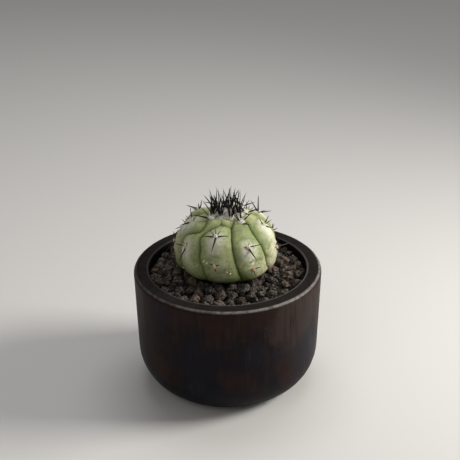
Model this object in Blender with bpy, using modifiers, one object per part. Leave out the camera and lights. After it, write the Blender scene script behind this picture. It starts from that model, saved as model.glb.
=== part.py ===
"""Potted copiapoa: a small ribbed cactus in grit, in a round dark stoneware pot.

Metres, +Z up, the front faces -Y. The origin is the centre of the pot's foot, on the surface it stands on.
"""
import math
import random

import bmesh
import bpy
from mathutils import Euler, Matrix, Vector

MM = 0.001
GAP = 0.3 * MM

# The pot's outer side runs from the rim to a rounded lower body on a flat foot ring.
RIM_RADIUS = 43.0 * MM
POT_HEIGHT = 58.0 * MM
RIM_ROUNDING = 2.0 * MM
WAIST_RADIUS = 42.0 * MM
WAIST_HEIGHT = 20.0 * MM
FOOT_RADIUS = 25.0 * MM
FOOT_INNER_RADIUS = 19.0 * MM
FOOT_RECESS = 1.2 * MM
POT_STEPS = 60

# The pot's cavity, and the hole in its floor.
MOUTH_RADIUS = 36.2 * MM
MOUTH_ROUNDING = 0.7 * MM
CAVITY_WAIST_RADIUS = 36.0 * MM
CAVITY_WAIST_HEIGHT = 22.0 * MM
CAVITY_FLOOR_RADIUS = 23.0 * MM
FLOOR_HEIGHT = 6.0 * MM
DRAIN_RADIUS = 4.5 * MM

# The mesh over the drain hole.
NET_RADIUS = 11.0 * MM
NET_THICKNESS = 0.8 * MM
NET_HOLE = 2.4 * MM
NET_PITCH = 3.6 * MM
NET_STEPS = 24

# The potting mix, and the bed of grit over it.
SOIL_TOP = 46.0 * MM
SOIL_CLEARANCE = 0.45 * MM
SOIL_STEPS = 40
BED_RADIUS = 35.7 * MM
BED_INNER_RADIUS = 18.0 * MM
BED_BELOW_GRAINS_AT_WALL = 1.7 * MM
BED_BELOW_GRAINS_AT_PLANT = 2.2 * MM

# Grit grains: half sizes, and the level of their centres at the wall and at the plant.
GRAIN_SEED = 7
GRAIN_TRIES = 6000
GRAIN_HALF_SIZES = (3.9 * MM, 3.4 * MM, 2.9 * MM, 2.4 * MM)
GRAIN_OUTER_REACH = 35.8 * MM
GRAIN_SEATING = 1.6 * MM
GRAIN_CENTRE_AT_WALL = 54.9 * MM
GRAIN_CENTRE_AT_PLANT = 58.2 * MM
GRAIN_CLOSENESS = 0.66
GRAIN_SUNK_SHARE = 0.3
GRAIN_LEAST_SINK = 0.5 * MM
GRAIN_THROW_AREA = (0.15, 1.0)
GRAIN_SIZE_SPREAD = (0.85, 1.1)
# Their shape: how far the corners lie from a ball, the width and height over the length, and the tilt.
GRAIN_CORNERS = (0.82, 1.0)
GRAIN_WIDTH = (0.78, 0.98)
GRAIN_HEIGHT = (0.66, 0.90)
GRAIN_TILT = 0.5
# The grains that show most: x, y, half size, each in mm.
NAMED_GRAINS = (
    (-26.5, -7.3, 3.0), (-33.8, 1.5, 2.5), (-31.5, 9.5, 3.4), (32.6, 5.5, 3.2), (28.5, 16.5, 3.3),
    (-14.5, -26.0, 2.7), (-2.5, -25.5, 3.5), (6.0, -27.0, 3.2), (14.5, -23.5, 3.0), (20.5, -18.0, 2.8),
    (-21.0, -19.0, 3.0), (27.5, -6.0, 3.4), (26.0, -14.0, 3.3), (-9.0, -30.5, 2.8), (1.5, -32.0, 2.7),
)

# The stem is a flattened superellipsoid with ribs. Heights are above the pot's foot.
PLANT_X = -0.5 * MM
STEM_RADIUS = 23.3 * MM
STEM_EQUATOR = 64.4 * MM
STEM_RISE = 20.3 * MM
STEM_DROP = 7.4 * MM
STEM_SQUARENESS = 2.6
RIB_ROUNDING = 0.8 * MM
RIB_CREASE = 0.8 * MM
CREASE_WIDTH = 0.08
FULL_DEPTH_WIDTH_DEG = 22.0
RIBS_BEGIN_DEG = 12.0
RIBS_FULL_DEG = 34.0
TUBERCLE_RISE = 0.7 * MM
TUBERCLE_HEIGHT_DEG = 13.0
TUBERCLE_WIDTH_DEG = 15.0
COLUMNS_PER_RIB = 8
STEM_ROWS = 21
STEM_TAIL_ROWS = 3
LAST_FULL_ROW_DEG = 122.0

# The taproot goes down from the stem through the grit into the mix.
ROOT_TOP = 59.0 * MM
ROOT_TOP_RADIUS = 9.0 * MM
ROOT_END = 20.0 * MM
ROOT_END_RADIUS = 1.8 * MM
ROOT_SIDES = 12
ROOT_CLEARANCE = 0.5 * MM
ROOT_HOLE_SIDES = 16
ROOT_HOLE_OVERRUN = 5.0 * MM

# Areoles of each rib from the crown down: polar angle from the crown, azimuth, in degrees. Azimuth 0 is
# the front and 90 the right side.
RIBS = (
    {"A0": (20, -50), "A1": (62, -54)},
    {"B1": (42, -15), "B2": (76, -13)},
    {"C0": (26, 38), "C1": (56, 27), "C2": (84, 31)},
    {"D0": (21, 94), "D1": (43, 74), "D2": (74, 75)},
    {"E1": (42, 119), "E2": (72, 113)},
    {"F0": (30, 146), "F1": (58, 152), "F2": (86, 153)},
    {"G1": (44, 190), "G2": (75, 193)},
    {"H1": (38, 230), "H2": (68, 234)},
    {"I1": (38, 281), "I2": (70, 273)},
)

# Grooves that show: the rib on their left, then polar angle and azimuth down the groove. The other
# grooves run midway between their ribs.
SHOWN_GROOVES = {
    0: ((12, -20), (24, -14), (32, -31), (38, -37), (47, -40), (59, -34), (71, -33), (84, -27), (110, -24)),
    1: ((12, 45), (18, 31), (28, 11), (43, 8), (53, 8), (68, 10), (78, 12), (91, 16), (110, 18)),
    2: ((12, 64), (30, 52), (40, 46), (50, 46), (62, 50), (76, 53), (85, 54), (110, 60)),
    8: ((12, 260), (19, 282), (26, 312), (40, 314), (44, 306), (49, 294), (57, 291), (67, 295), (110, 299)),
}

# Areoles of the crown lie on a spiral by the golden angle.
GOLDEN_ANGLE = 137.5
CROWN_AREOLES = 11
CROWN_FIRST_DEG = 2.0
CROWN_SPREAD_DEG = 4.0

# Wool cushions in the areoles, worn smaller on the older ones: half sizes across, along the rib, outward.
YOUNG_WOOL = (1.3 * MM, 1.2 * MM, 0.8 * MM)
OLD_WOOL = (0.85 * MM, 0.95 * MM, 0.65 * MM)
WOOL_SINK = 0.15 * MM
YOUNG_BELOW_DEG = 40.0

# Spines: clock direction on the skin (0 points to the crown, 90 to the right), lift off the skin, length
# in mm and base radius in mm.
THICK = 0.48
MIDDLE = 0.38
THIN = 0.28
SHOWN_SPINES = {
    "A0": ((315, 38, 9.0, THICK), (225, 15, 8.5, THICK), (50, 18, 4.5, THIN), (272, 22, 7.5, THIN)),
    "A1": ((158, 25, 8.0, MIDDLE), (257, 14, 7.0, THIN), (305, 18, 3.0, THIN), (25, 18, 3.2, THIN)),
    "B1": ((174, 25, 11.5, THICK), (255, 13, 6.2, MIDDLE), (89, 13, 6.4, MIDDLE), (305, 18, 4.4, THIN),
           (351, 18, 3.6, THIN), (34, 18, 3.4, THIN)),
    "B2": ((306, 18, 3.0, THIN), (56, 18, 3.3, THIN), (157, 24, 2.8, THIN)),
    "C0": ((28, 38, 9.0, THICK), (350, 16, 5.3, MIDDLE), (78, 16, 8.0, MIDDLE), (163, 16, 4.6, THICK),
           (300, 55, 6.0, THIN)),
    "C1": ((171, 25, 7.4, THICK), (92, 13, 7.5, THIN), (276, 14, 2.6, THIN), (25, 16, 2.2, THIN)),
    "C2": ((176, 32, 3.7, THIN), (81, 14, 4.1, THIN), (285, 16, 2.5, THIN)),
    "D1": ((83, 24, 5.9, MIDDLE), (176, 18, 4.4, MIDDLE), (110, 30, 4.9, THIN), (330, 25, 5.0, THIN)),
    "D2": ((101, 32, 9.0, THICK), (190, 30, 6.5, THIN), (20, 20, 4.5, THIN), (300, 20, 3.5, THIN)),
    "E1": ((336, 38, 11.5, MIDDLE), (290, 20, 7.5, THIN), (60, 20, 7.0, MIDDLE), (170, 22, 8.0, MIDDLE)),
    "H1": ((39, 22, 8.0, MIDDLE), (17, 34, 6.6, MIDDLE), (83, 16, 5.5, THIN), (180, 24, 8.5, THICK)),
    "I1": ((297, 32, 7.2, MIDDLE), (167, 17, 6.0, THICK), (255, 17, 5.0, THIN), (30, 22, 5.0, THIN)),
}
# The same four values for the older and the younger areoles that don't show.
OLD_PATTERN = (
    (174, 25, 9.5, THICK), (255, 14, 6.5, MIDDLE), (92, 14, 6.6, MIDDLE), (305, 18, 4.4, THIN),
    (350, 18, 3.8, THIN), (35, 18, 3.8, THIN),
)
YOUNG_PATTERN = (
    (20, 42, 9.0, THICK), (165, 18, 6.5, THICK), (90, 18, 7.5, MIDDLE), (265, 18, 7.5, MIDDLE),
    (325, 26, 5.5, THIN),
)
SPINE_SEED = 21
CROWN_SPINES = 5
CROWN_LENGTH_MM = (8.0, 12.0)
CROWN_LIFT_DEG = (56.0, 84.0)
SPINE_ROOT = 0.7 * MM
SPINE_SIDES = 3


def clear_scene():
    """Remove every object that the file came with."""
    for item in list(bpy.data.objects):
        bpy.data.objects.remove(item, do_unlink=True)


def collection(name):
    made = bpy.data.collections.new(name)
    bpy.context.scene.collection.children.link(made)
    return made


def material(name, colour, roughness, metallic=0.0):
    """A Principled material in one colour."""
    made = bpy.data.materials.new(name)
    made.use_nodes = True
    shader = made.node_tree.nodes["Principled BSDF"]
    shader.inputs["Base Color"].default_value = (*colour, 1.0)
    shader.inputs["Roughness"].default_value = roughness
    shader.inputs["Metallic"].default_value = metallic
    made.diffuse_color = (*colour, 1.0)
    return made


def add_object(name, mesh, home, finish):
    made = bpy.data.objects.new(name, mesh)
    mesh.materials.append(finish)
    home.objects.link(made)
    return made


def mesh_from(name, form):
    """Turn a bmesh into a mesh and let the bmesh go."""
    mesh = bpy.data.meshes.new(name)
    form.to_mesh(mesh)
    form.free()
    return mesh


def shade_round(item, crease_deg=35.0):
    item.data.shade_smooth()
    item.data.set_sharp_from_angle(angle=math.radians(crease_deg))


def apply_modifiers(item):
    """Make the modifiers' result the object's own mesh."""
    bpy.context.view_layer.update()
    evaluated = item.evaluated_get(bpy.context.evaluated_depsgraph_get())
    finished = bpy.data.meshes.new_from_object(evaluated)
    item.modifiers.clear()
    item.data = finished


def arc(centre, radii, start_deg, end_deg, steps):
    """Points on an ellipse arc in the profile plane, from start to end."""
    points = []
    for i in range(steps + 1):
        a = math.radians(start_deg + (end_deg - start_deg) * i / steps)
        points.append((centre[0] + radii[0] * math.cos(a), centre[1] + radii[1] * math.sin(a)))
    return points


def turned(name, outline, steps, home, finish, closed=False):
    """Turn an outline of (radius, height) about the Z axis. It runs down its outer side."""
    mesh = bpy.data.meshes.new(name)
    edges = [(i, i + 1) for i in range(len(outline) - 1)]
    if closed:
        edges.append((len(outline) - 1, 0))
    mesh.from_pydata([(r, 0.0, z) for r, z in outline], edges, [])
    made = add_object(name, mesh, home, finish)
    screw = made.modifiers.new("turn", "SCREW")
    screw.axis = "Z"
    screw.angle = math.tau
    screw.steps = steps
    screw.render_steps = steps
    screw.use_merge_vertices = True
    screw.merge_threshold = 0.00001
    screw.use_normal_calculate = False
    apply_modifiers(made)
    return made


def pot(home):
    """The pot: a thick wall, a rounded lower body, a recessed foot and a drain hole."""
    lower_body = (WAIST_RADIUS - FOOT_RADIUS, WAIST_HEIGHT)
    cavity_corner = (CAVITY_WAIST_RADIUS - CAVITY_FLOOR_RADIUS, CAVITY_WAIST_HEIGHT - FLOOR_HEIGHT)
    rim_centre = (RIM_RADIUS - RIM_ROUNDING, POT_HEIGHT - RIM_ROUNDING)
    lip_centre = (MOUTH_RADIUS + MOUTH_ROUNDING, POT_HEIGHT - MOUTH_ROUNDING)
    outline = arc(rim_centre, (RIM_ROUNDING, RIM_ROUNDING), 90, 0, 4)
    outline += arc((FOOT_RADIUS, WAIST_HEIGHT), lower_body, 0, -90, 7)
    outline.append((FOOT_INNER_RADIUS, 0.0))
    outline.append((FOOT_INNER_RADIUS - FOOT_RECESS, FOOT_RECESS))
    outline.append((DRAIN_RADIUS, FOOT_RECESS))
    outline.append((DRAIN_RADIUS, FLOOR_HEIGHT))
    outline += arc((CAVITY_FLOOR_RADIUS, CAVITY_WAIST_HEIGHT), cavity_corner, -90, 0, 5)
    outline += arc(lip_centre, (MOUTH_ROUNDING, MOUTH_ROUNDING), 180, 90, 3)
    clay = material("burnished_stoneware", (0.055, 0.042, 0.038), 0.42, 0.35)
    made = turned("pot", outline, POT_STEPS, home, clay, closed=True)
    shade_round(made)
    return made


def drain_net(home, cutters):
    """A round plastic mesh with square holes, flat on the pot's floor. Two bars cross in its middle."""
    plastic = material("black_net_plastic", (0.02, 0.025, 0.02), 0.5)
    form = bmesh.new()
    bmesh.ops.create_cone(form, cap_ends=True, segments=NET_STEPS, radius1=NET_RADIUS, radius2=NET_RADIUS,
                          depth=NET_THICKNESS)
    made = add_object("drain_net", mesh_from("drain_net", form), home, plastic)
    made.location.z = FLOOR_HEIGHT + GAP + NET_THICKNESS / 2
    size = Matrix.Diagonal((NET_HOLE, NET_HOLE, 3 * NET_THICKNESS, 1.0))
    reach = NET_RADIUS - NET_HOLE
    count = int(reach // NET_PITCH) + 1
    middles = [(i + 0.5) * NET_PITCH for i in range(-count, count)]
    holes = bmesh.new()
    for x in middles:
        for y in middles:
            if math.hypot(x, y) < reach:
                place = Matrix.Translation((x, y, made.location.z))
                bmesh.ops.create_cube(holes, size=1.0, matrix=place @ size)
    cutter = cutter_from("net_holes", mesh_from("net_holes", holes), cutters)
    cut(made, cutter)
    return made


def cutter_from(name, mesh, cutters):
    made = bpy.data.objects.new(name, mesh)
    made.hide_render = True
    made.display_type = "WIRE"
    cutters.objects.link(made)
    return made


def cut(item, cutter):
    """Take the cutter away from the item, for good."""
    boolean = item.modifiers.new("cut", "BOOLEAN")
    boolean.operation = "DIFFERENCE"
    boolean.solver = "EXACT"
    boolean.object = cutter
    apply_modifiers(item)


def fuse(item, bunch):
    """Join the bunch's objects to the item in one union, then remove them."""
    boolean = item.modifiers.new("fuse", "BOOLEAN")
    boolean.operation = "UNION"
    boolean.operand_type = "COLLECTION"
    boolean.collection = bunch
    boolean.solver = "EXACT"
    boolean.material_mode = "TRANSFER"
    apply_modifiers(item)
    for piece in list(bunch.objects):
        bpy.data.objects.remove(piece, do_unlink=True)
    bpy.data.collections.remove(bunch)


def cavity_radius(height):
    """The cavity's radius at a height above its waist."""
    share = (height - CAVITY_WAIST_HEIGHT) / (POT_HEIGHT - CAVITY_WAIST_HEIGHT)
    return CAVITY_WAIST_RADIUS + (MOUTH_RADIUS - CAVITY_WAIST_RADIUS) * share


def root_radius(height):
    """The taproot's radius, which narrows evenly from the stem to its end."""
    share = (height - ROOT_END) / (ROOT_TOP - ROOT_END)
    return ROOT_END_RADIUS + (ROOT_TOP_RADIUS - ROOT_END_RADIUS) * share


def root_hole(mouth_height, cutters):
    """Cutter for a plain round hole for the taproot, which runs on above its mouth."""
    bottom = ROOT_END - 2 * GAP
    top = mouth_height + ROOT_HOLE_OVERRUN
    form = bmesh.new()
    bmesh.ops.create_cone(form, cap_ends=True, segments=ROOT_HOLE_SIDES,
                          radius1=root_radius(bottom) + ROOT_CLEARANCE,
                          radius2=root_radius(top) + ROOT_CLEARANCE, depth=top - bottom)
    made = cutter_from("root_hole", mesh_from("root_hole", form), cutters)
    made.location = (PLANT_X, 0.0, (top + bottom) / 2)
    return made


def soil(home, cutters):
    """The potting mix: it fills the cavity, lies over the mesh and holds the taproot."""
    floor = FLOOR_HEIGHT + GAP
    over_net = floor + NET_THICKNESS + GAP
    corner = (CAVITY_WAIST_RADIUS - CAVITY_FLOOR_RADIUS, CAVITY_WAIST_HEIGHT - FLOOR_HEIGHT)
    outline = [(0.0, SOIL_TOP), (cavity_radius(SOIL_TOP) - SOIL_CLEARANCE, SOIL_TOP)]
    for r, z in arc((CAVITY_FLOOR_RADIUS, CAVITY_WAIST_HEIGHT), corner, 0, -90, 5):
        outline.append((r - SOIL_CLEARANCE, z + GAP))
    outline.append((NET_RADIUS + 2 * GAP, floor))
    outline.append((NET_RADIUS + 2 * GAP, over_net))
    outline.append((0.0, over_net))
    mix = material("potting_mix", (0.045, 0.030, 0.022), 0.95)
    made = turned("soil", outline, SOIL_STEPS, home, mix)
    cut(made, root_hole(SOIL_TOP, cutters))
    return made


def stem_base(polar, azimuth):
    """Point and outward direction on the smooth superellipsoid under the ribs. Angles in degrees."""
    s = math.sin(math.radians(polar))
    c = math.cos(math.radians(polar))
    n = STEM_SQUARENESS
    k = (abs(s) ** n + abs(c) ** n) ** (-1 / n)
    reach = STEM_RISE if c > 0 else STEM_DROP
    radial = Vector((math.sin(math.radians(azimuth)), -math.cos(math.radians(azimuth)), 0.0))
    point = radial * (STEM_RADIUS * s * k) + Vector((PLANT_X, 0.0, STEM_EQUATOR + reach * c * k))
    outward = radial * ((abs(s) * k) ** (n - 1) / STEM_RADIUS)
    outward.z = math.copysign((abs(c) * k) ** (n - 1) / reach, c)
    return point, outward.normalized()


def stem_radius_at(height):
    """The smooth stem's radius at a height, 0 above or below it."""
    rise = height - STEM_EQUATOR
    share = abs(rise) / (STEM_RISE if rise > 0 else STEM_DROP)
    if share >= 1:
        return 0.0
    return STEM_RADIUS * (1 - share ** STEM_SQUARENESS) ** (1 / STEM_SQUARENESS)


def follow(points, polar):
    """Azimuth at a polar angle along a line of (polar, azimuth) points."""
    if polar <= points[0][0]:
        return points[0][1]
    for (p0, a0), (p1, a1) in zip(points, points[1:]):
        if polar <= p1:
            return a0 + (a1 - a0) * (polar - p0) / (p1 - p0)
    return points[-1][1]


def groove_azimuth(rib, polar):
    """Azimuth of the groove on the right of a rib, at a polar angle."""
    if rib < 0:
        return groove_azimuth(rib + len(RIBS), polar) - 360.0
    if rib in SHOWN_GROOVES:
        return follow(SHOWN_GROOVES[rib], polar)
    left = follow(tuple(RIBS[rib].values()), polar)
    if rib + 1 < len(RIBS):
        right = follow(tuple(RIBS[rib + 1].values()), polar)
    else:
        right = follow(tuple(RIBS[0].values()), polar) + 360.0
    return (left + right) / 2


def smooth_step(low, high, value):
    t = min(1.0, max(0.0, (value - low) / (high - low)))
    return t * t * (3 - 2 * t)


def skin(rib, across, polar):
    """Point on the ribbed skin. Across runs from -1 in a rib's left groove to 1 in its right groove."""
    left = groove_azimuth(rib - 1, polar)
    right = groove_azimuth(rib, polar)
    azimuth = left + (right - left) * (across + 1) / 2
    point, outward = stem_base(polar, azimuth)
    fade = smooth_step(RIBS_BEGIN_DEG, RIBS_FULL_DEG, polar) * (1 - 0.5 * smooth_step(100, 130, polar))
    fade *= min(1.0, (right - left) * math.sin(math.radians(polar)) / FULL_DEPTH_WIDTH_DEG)
    depth = RIB_ROUNDING * abs(across) ** 2.4 + RIB_CREASE * math.exp((abs(across) - 1) / CREASE_WIDTH)
    lift = 0.0
    for areole_polar, areole_azimuth in RIBS[rib].values():
        up = (polar - areole_polar) / TUBERCLE_HEIGHT_DEG
        side = (azimuth - areole_azimuth) * math.sin(math.radians(polar)) / TUBERCLE_WIDTH_DEG
        low = 1 - 0.7 * smooth_step(60, 90, areole_polar)
        lift += TUBERCLE_RISE * low * math.exp(-up * up - side * side)
    return point + outward * (lift - depth * fade)


def areole_places():
    """Name, rib, polar angle and azimuth of every areole, those of the crown last."""
    places = []
    for rib, areoles in enumerate(RIBS):
        for name, (polar, azimuth) in areoles.items():
            places.append((name, rib, polar, azimuth))
    for i in range(1, CROWN_AREOLES + 1):
        polar = CROWN_FIRST_DEG + CROWN_SPREAD_DEG * math.sqrt(i)
        places.append((f"crown{i}", None, polar, (i * GOLDEN_ANGLE) % 360.0))
    return places


def areole_frame(rib, polar, azimuth):
    """Point on the skin with the directions right, up and outward there."""
    point, outward = stem_base(polar, azimuth)
    if rib is not None:
        left = groove_azimuth(rib - 1, polar)
        right = groove_azimuth(rib, polar)
        across = 2 * (azimuth - left) / (right - left) - 1
        point = skin(rib, across, polar)
    side = Vector((math.cos(math.radians(azimuth)), math.sin(math.radians(azimuth)), 0.0))
    up = outward.cross(side).normalized()
    return point, side, up, outward


def stem_form():
    """The stem's mesh: a ball of rows and columns, with columns gathered at the grooves."""
    columns = COLUMNS_PER_RIB * len(RIBS)
    full_rows = STEM_ROWS - STEM_TAIL_ROWS
    form = bmesh.new()
    bmesh.ops.create_uvsphere(form, u_segments=columns, v_segments=STEM_ROWS, radius=1.0)
    for vert in form.verts:
        row = round(math.acos(max(-1.0, min(1.0, vert.co.z))) / math.pi * STEM_ROWS)
        column = round(math.atan2(vert.co.y, vert.co.x) / math.tau * columns) % columns
        if row <= full_rows:
            polar = LAST_FULL_ROW_DEG * row / full_rows
        else:
            polar = LAST_FULL_ROW_DEG + (180.0 - LAST_FULL_ROW_DEG) * (row - full_rows) / STEM_TAIL_ROWS
        rib, step = divmod(column, COLUMNS_PER_RIB)
        even = 2 * step / COLUMNS_PER_RIB - 1
        across = math.copysign(1 - (1 - abs(even)) ** 1.5, even)
        vert.co = skin(rib, across, polar)
    return form


def taproot(bunch, finish):
    form = bmesh.new()
    bmesh.ops.create_cone(form, cap_ends=True, segments=ROOT_SIDES, radius1=ROOT_END_RADIUS,
                          radius2=ROOT_TOP_RADIUS, depth=ROOT_TOP - ROOT_END)
    made = add_object("taproot", mesh_from("taproot", form), bunch, finish)
    made.location = (PLANT_X, 0.0, (ROOT_TOP + ROOT_END) / 2)


def wool(name, frame, half_size, bunch, finish):
    """A woolly cushion half sunk in the skin."""
    point, side, up, outward = frame
    form = bmesh.new()
    bmesh.ops.create_icosphere(form, subdivisions=1, radius=1.0)
    turn = Matrix((side, up, outward)).transposed().to_4x4()
    bmesh.ops.transform(form, matrix=turn @ Matrix.Diagonal((*half_size, 1.0)), verts=form.verts)
    made = add_object(f"wool_{name}", mesh_from("wool", form), bunch, finish)
    made.location = point - outward * WOOL_SINK


def spine(name, frame, values, bunch, finish):
    """A slim three-sided spine whose root is sunk in the skin under its areole."""
    point, side, up, outward = frame
    clock, lift, length, radius = values
    along = up * math.cos(math.radians(clock)) + side * math.sin(math.radians(clock))
    direction = along * math.cos(math.radians(lift)) + outward * math.sin(math.radians(lift))
    tip = point + direction * (length * MM)
    root = point - outward * SPINE_ROOT
    axis = tip - root
    form = bmesh.new()
    bmesh.ops.create_cone(form, cap_ends=True, segments=SPINE_SIDES, radius1=radius * MM, radius2=0.0,
                          depth=axis.length)
    turn = axis.to_track_quat("Z", "Y").to_matrix().to_4x4()
    bmesh.ops.transform(form, matrix=turn, verts=form.verts)
    made = add_object(name, mesh_from("spine", form), bunch, finish)
    made.location = (tip + root) / 2


def spine_values(name, rib, polar, draw):
    """Clock, lift, length and radius of an areole's spines."""
    if name in SHOWN_SPINES:
        return SHOWN_SPINES[name]
    values = []
    if rib is None:
        start = draw.uniform(0, 360)
        for i in range(CROWN_SPINES):
            lift = draw.uniform(*CROWN_LIFT_DEG)
            length = draw.uniform(*CROWN_LENGTH_MM)
            values.append((start + 360 * i / CROWN_SPINES, lift, length, draw.choice((THICK, MIDDLE, THIN))))
        return values
    for clock, lift, length, radius in YOUNG_PATTERN if polar < YOUNG_BELOW_DEG else OLD_PATTERN:
        values.append((clock + draw.uniform(-10, 10), lift + draw.uniform(-3, 6),
                       length * draw.uniform(0.8, 1.15), radius))
    return values


def cactus(home):
    """The plant, grown as one: ribbed stem, taproot, woolly areoles and spines."""
    green = material("copiapoa_skin", (0.36, 0.43, 0.27), 0.6)
    cream = material("areole_wool", (0.62, 0.57, 0.47), 0.95)
    black = material("spine_black", (0.018, 0.014, 0.012), 0.45)
    made = add_object("cactus", mesh_from("cactus", stem_form()), home, green)
    bunch = collection("cactus_repeats")
    taproot(bunch, green)
    draw = random.Random(SPINE_SEED)
    for name, rib, polar, azimuth in areole_places():
        frame = areole_frame(rib, polar, azimuth)
        wool(name, frame, YOUNG_WOOL if polar < YOUNG_BELOW_DEG else OLD_WOOL, bunch, cream)
        for i, values in enumerate(spine_values(name, rib, polar, draw)):
            spine(f"spine_{name}_{i}", frame, values, bunch, black)
    fuse(made, bunch)
    return made


def grain_slack(form, x, y, z):
    """How far a grain at a place still is from the stem or the neck, least of all its corners."""
    slack = []
    for vert in form.verts:
        height = vert.co.z + z
        plant = max(stem_radius_at(height) + TUBERCLE_RISE / 2, root_radius(height)) + GAP
        slack.append(math.hypot(vert.co.x + x - PLANT_X, vert.co.y + y) - plant)
    return min(slack)


def seat_grain(form, x, y, z):
    """Push a grain that is nearly there up to the wall or the plant. None if it doesn't fit."""
    reach = math.hypot(x, y)
    to_wall = GRAIN_OUTER_REACH - max(math.hypot(vert.co.x + x, vert.co.y + y) for vert in form.verts)
    if to_wall < GRAIN_SEATING:
        x, y = x * (reach + to_wall) / reach, y * (reach + to_wall) / reach
    slack = grain_slack(form, x, y, z)
    if slack < -GRAIN_SEATING:
        return None
    if slack < GRAIN_SEATING:
        x, y = x * (reach - slack) / reach, y * (reach - slack) / reach
    if grain_slack(form, x, y, z) < 0:
        return None
    return x, y


def grain_level(reach):
    """Grains lie higher near the plant than near the wall."""
    share = smooth_step(BED_INNER_RADIUS, GRAIN_OUTER_REACH, reach)
    return GRAIN_CENTRE_AT_PLANT + (GRAIN_CENTRE_AT_WALL - GRAIN_CENTRE_AT_PLANT) * share


def bed_top(reach):
    """Height of the bed's surface, which falls evenly from the plant to the wall."""
    inner = GRAIN_CENTRE_AT_PLANT - BED_BELOW_GRAINS_AT_PLANT
    outer = GRAIN_CENTRE_AT_WALL - BED_BELOW_GRAINS_AT_WALL
    share = min(1.0, max(0.0, (reach - BED_INNER_RADIUS) / (BED_RADIUS - BED_INNER_RADIUS)))
    return inner + (outer - inner) * share


def grain_throws(draw):
    """Places to try, as x, y and half size: the named grains first, then throws, the largest first."""
    for x, y, size in NAMED_GRAINS:
        yield x * MM, y * MM, size * MM
    for i in range(GRAIN_TRIES):
        size = GRAIN_HALF_SIZES[i * len(GRAIN_HALF_SIZES) // GRAIN_TRIES] * draw.uniform(*GRAIN_SIZE_SPREAD)
        reach = (GRAIN_OUTER_REACH - GRAIN_CORNERS[0] * size) * math.sqrt(draw.uniform(*GRAIN_THROW_AREA))
        turn = draw.uniform(0.0, math.tau)
        yield reach * math.cos(turn), reach * math.sin(turn), size


def grains(draw):
    """Form and place of each grain that finds room."""
    taken = []
    for x, y, size in grain_throws(draw):
        if any(math.hypot(x - a, y - b) < GRAIN_CLOSENESS * (size + c) for a, b, c in taken):
            continue
        form = grain_form(size, draw)
        lowest = min(vert.co.z for vert in form.verts)
        sunk = bed_top(math.hypot(x, y)) - GRAIN_LEAST_SINK - lowest
        z = min(grain_centre_height(x, y, size), sunk)
        seat = seat_grain(form, x, y, z)
        if seat is None:
            form.free()
            continue
        taken.append((*seat, size))
        yield form, (*seat, z)


def grain_centre_height(x, y, size):
    """Height of a grain's centre. Large ones are sunk a little more."""
    return grain_level(math.hypot(x, y)) - GRAIN_SUNK_SHARE * size


def grain_form(size, draw):
    """An angular grain: a coarse ball with uneven corners and sides of three lengths."""
    form = bmesh.new()
    bmesh.ops.create_icosphere(form, subdivisions=1, radius=1.0)
    for vert in form.verts:
        vert.co *= draw.uniform(*GRAIN_CORNERS)
    stretch = Matrix.Diagonal((1.0, draw.uniform(*GRAIN_WIDTH), draw.uniform(*GRAIN_HEIGHT), 1.0))
    tilt = (draw.uniform(-GRAIN_TILT, GRAIN_TILT), draw.uniform(-GRAIN_TILT, GRAIN_TILT))
    turn = Euler((*tilt, draw.uniform(0, math.tau)))
    scale = Matrix.Diagonal((size, size, size, 1.0))
    bmesh.ops.transform(form, matrix=turn.to_matrix().to_4x4() @ stretch @ scale, verts=form.verts)
    return form


def gravel(home, cutters):
    """The grit: a bed under grains of several sizes, with a plain hole for the plant's neck."""
    grit = material("lava_grit", (0.095, 0.080, 0.070), 0.95)
    floor = SOIL_TOP + GAP
    middle = bed_top(0.0)
    outline = [(0.0, middle), (BED_INNER_RADIUS, middle), (BED_RADIUS, bed_top(BED_RADIUS)),
               (BED_RADIUS, floor), (0.0, floor)]
    made = turned("gravel", outline, SOIL_STEPS, home, grit)
    cut(made, root_hole(middle, cutters))
    bunch = collection("grains")
    draw = random.Random(GRAIN_SEED)
    for i, (form, place) in enumerate(grains(draw)):
        grain = add_object(f"grain_{i}", mesh_from("grain", form), bunch, grit)
        grain.location = place
    fuse(made, bunch)
    return made


def main():
    clear_scene()
    home = collection("potted_copiapoa")
    cutters = collection("cutters")
    pot(home)
    drain_net(home, cutters)
    soil(home, cutters)
    gravel(home, cutters)
    cactus(home)


main()
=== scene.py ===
import math
import random

import bmesh
import bpy
import numpy as np
from mathutils import Euler, Matrix, Vector, noise


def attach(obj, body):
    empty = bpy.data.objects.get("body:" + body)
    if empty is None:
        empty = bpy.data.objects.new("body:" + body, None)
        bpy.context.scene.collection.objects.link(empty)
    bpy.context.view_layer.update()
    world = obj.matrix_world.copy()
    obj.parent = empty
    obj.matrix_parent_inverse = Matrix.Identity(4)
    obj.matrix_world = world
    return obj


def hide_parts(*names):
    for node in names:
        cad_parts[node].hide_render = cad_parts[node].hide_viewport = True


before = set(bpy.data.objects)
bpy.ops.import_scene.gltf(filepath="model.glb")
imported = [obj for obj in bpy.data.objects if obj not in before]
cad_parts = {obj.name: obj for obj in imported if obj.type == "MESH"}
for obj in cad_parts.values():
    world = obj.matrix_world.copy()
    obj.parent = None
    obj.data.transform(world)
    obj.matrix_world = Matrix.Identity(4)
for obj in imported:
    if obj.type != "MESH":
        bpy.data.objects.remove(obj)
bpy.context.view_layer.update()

# The look of a small potted copiapoa. Metres, +Z up, and the front faces -Y, as in the CAD. The sizes and
# seeds down to SPINE_ROOT are those of the part's own source, so that each fine piece keeps its node's form.
MM = 0.001
GAP = 0.3 * MM
RIM_RADIUS = 43 * MM
POT_HEIGHT = 58 * MM
RIM_ROUNDING = 2 * MM
WAIST_RADIUS = 42 * MM
WAIST_HEIGHT = 20 * MM
FOOT_RADIUS = 25 * MM
FOOT_INNER_RADIUS = 19 * MM
FOOT_RECESS = 1.2 * MM
MOUTH_RADIUS = 36.2 * MM
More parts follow.
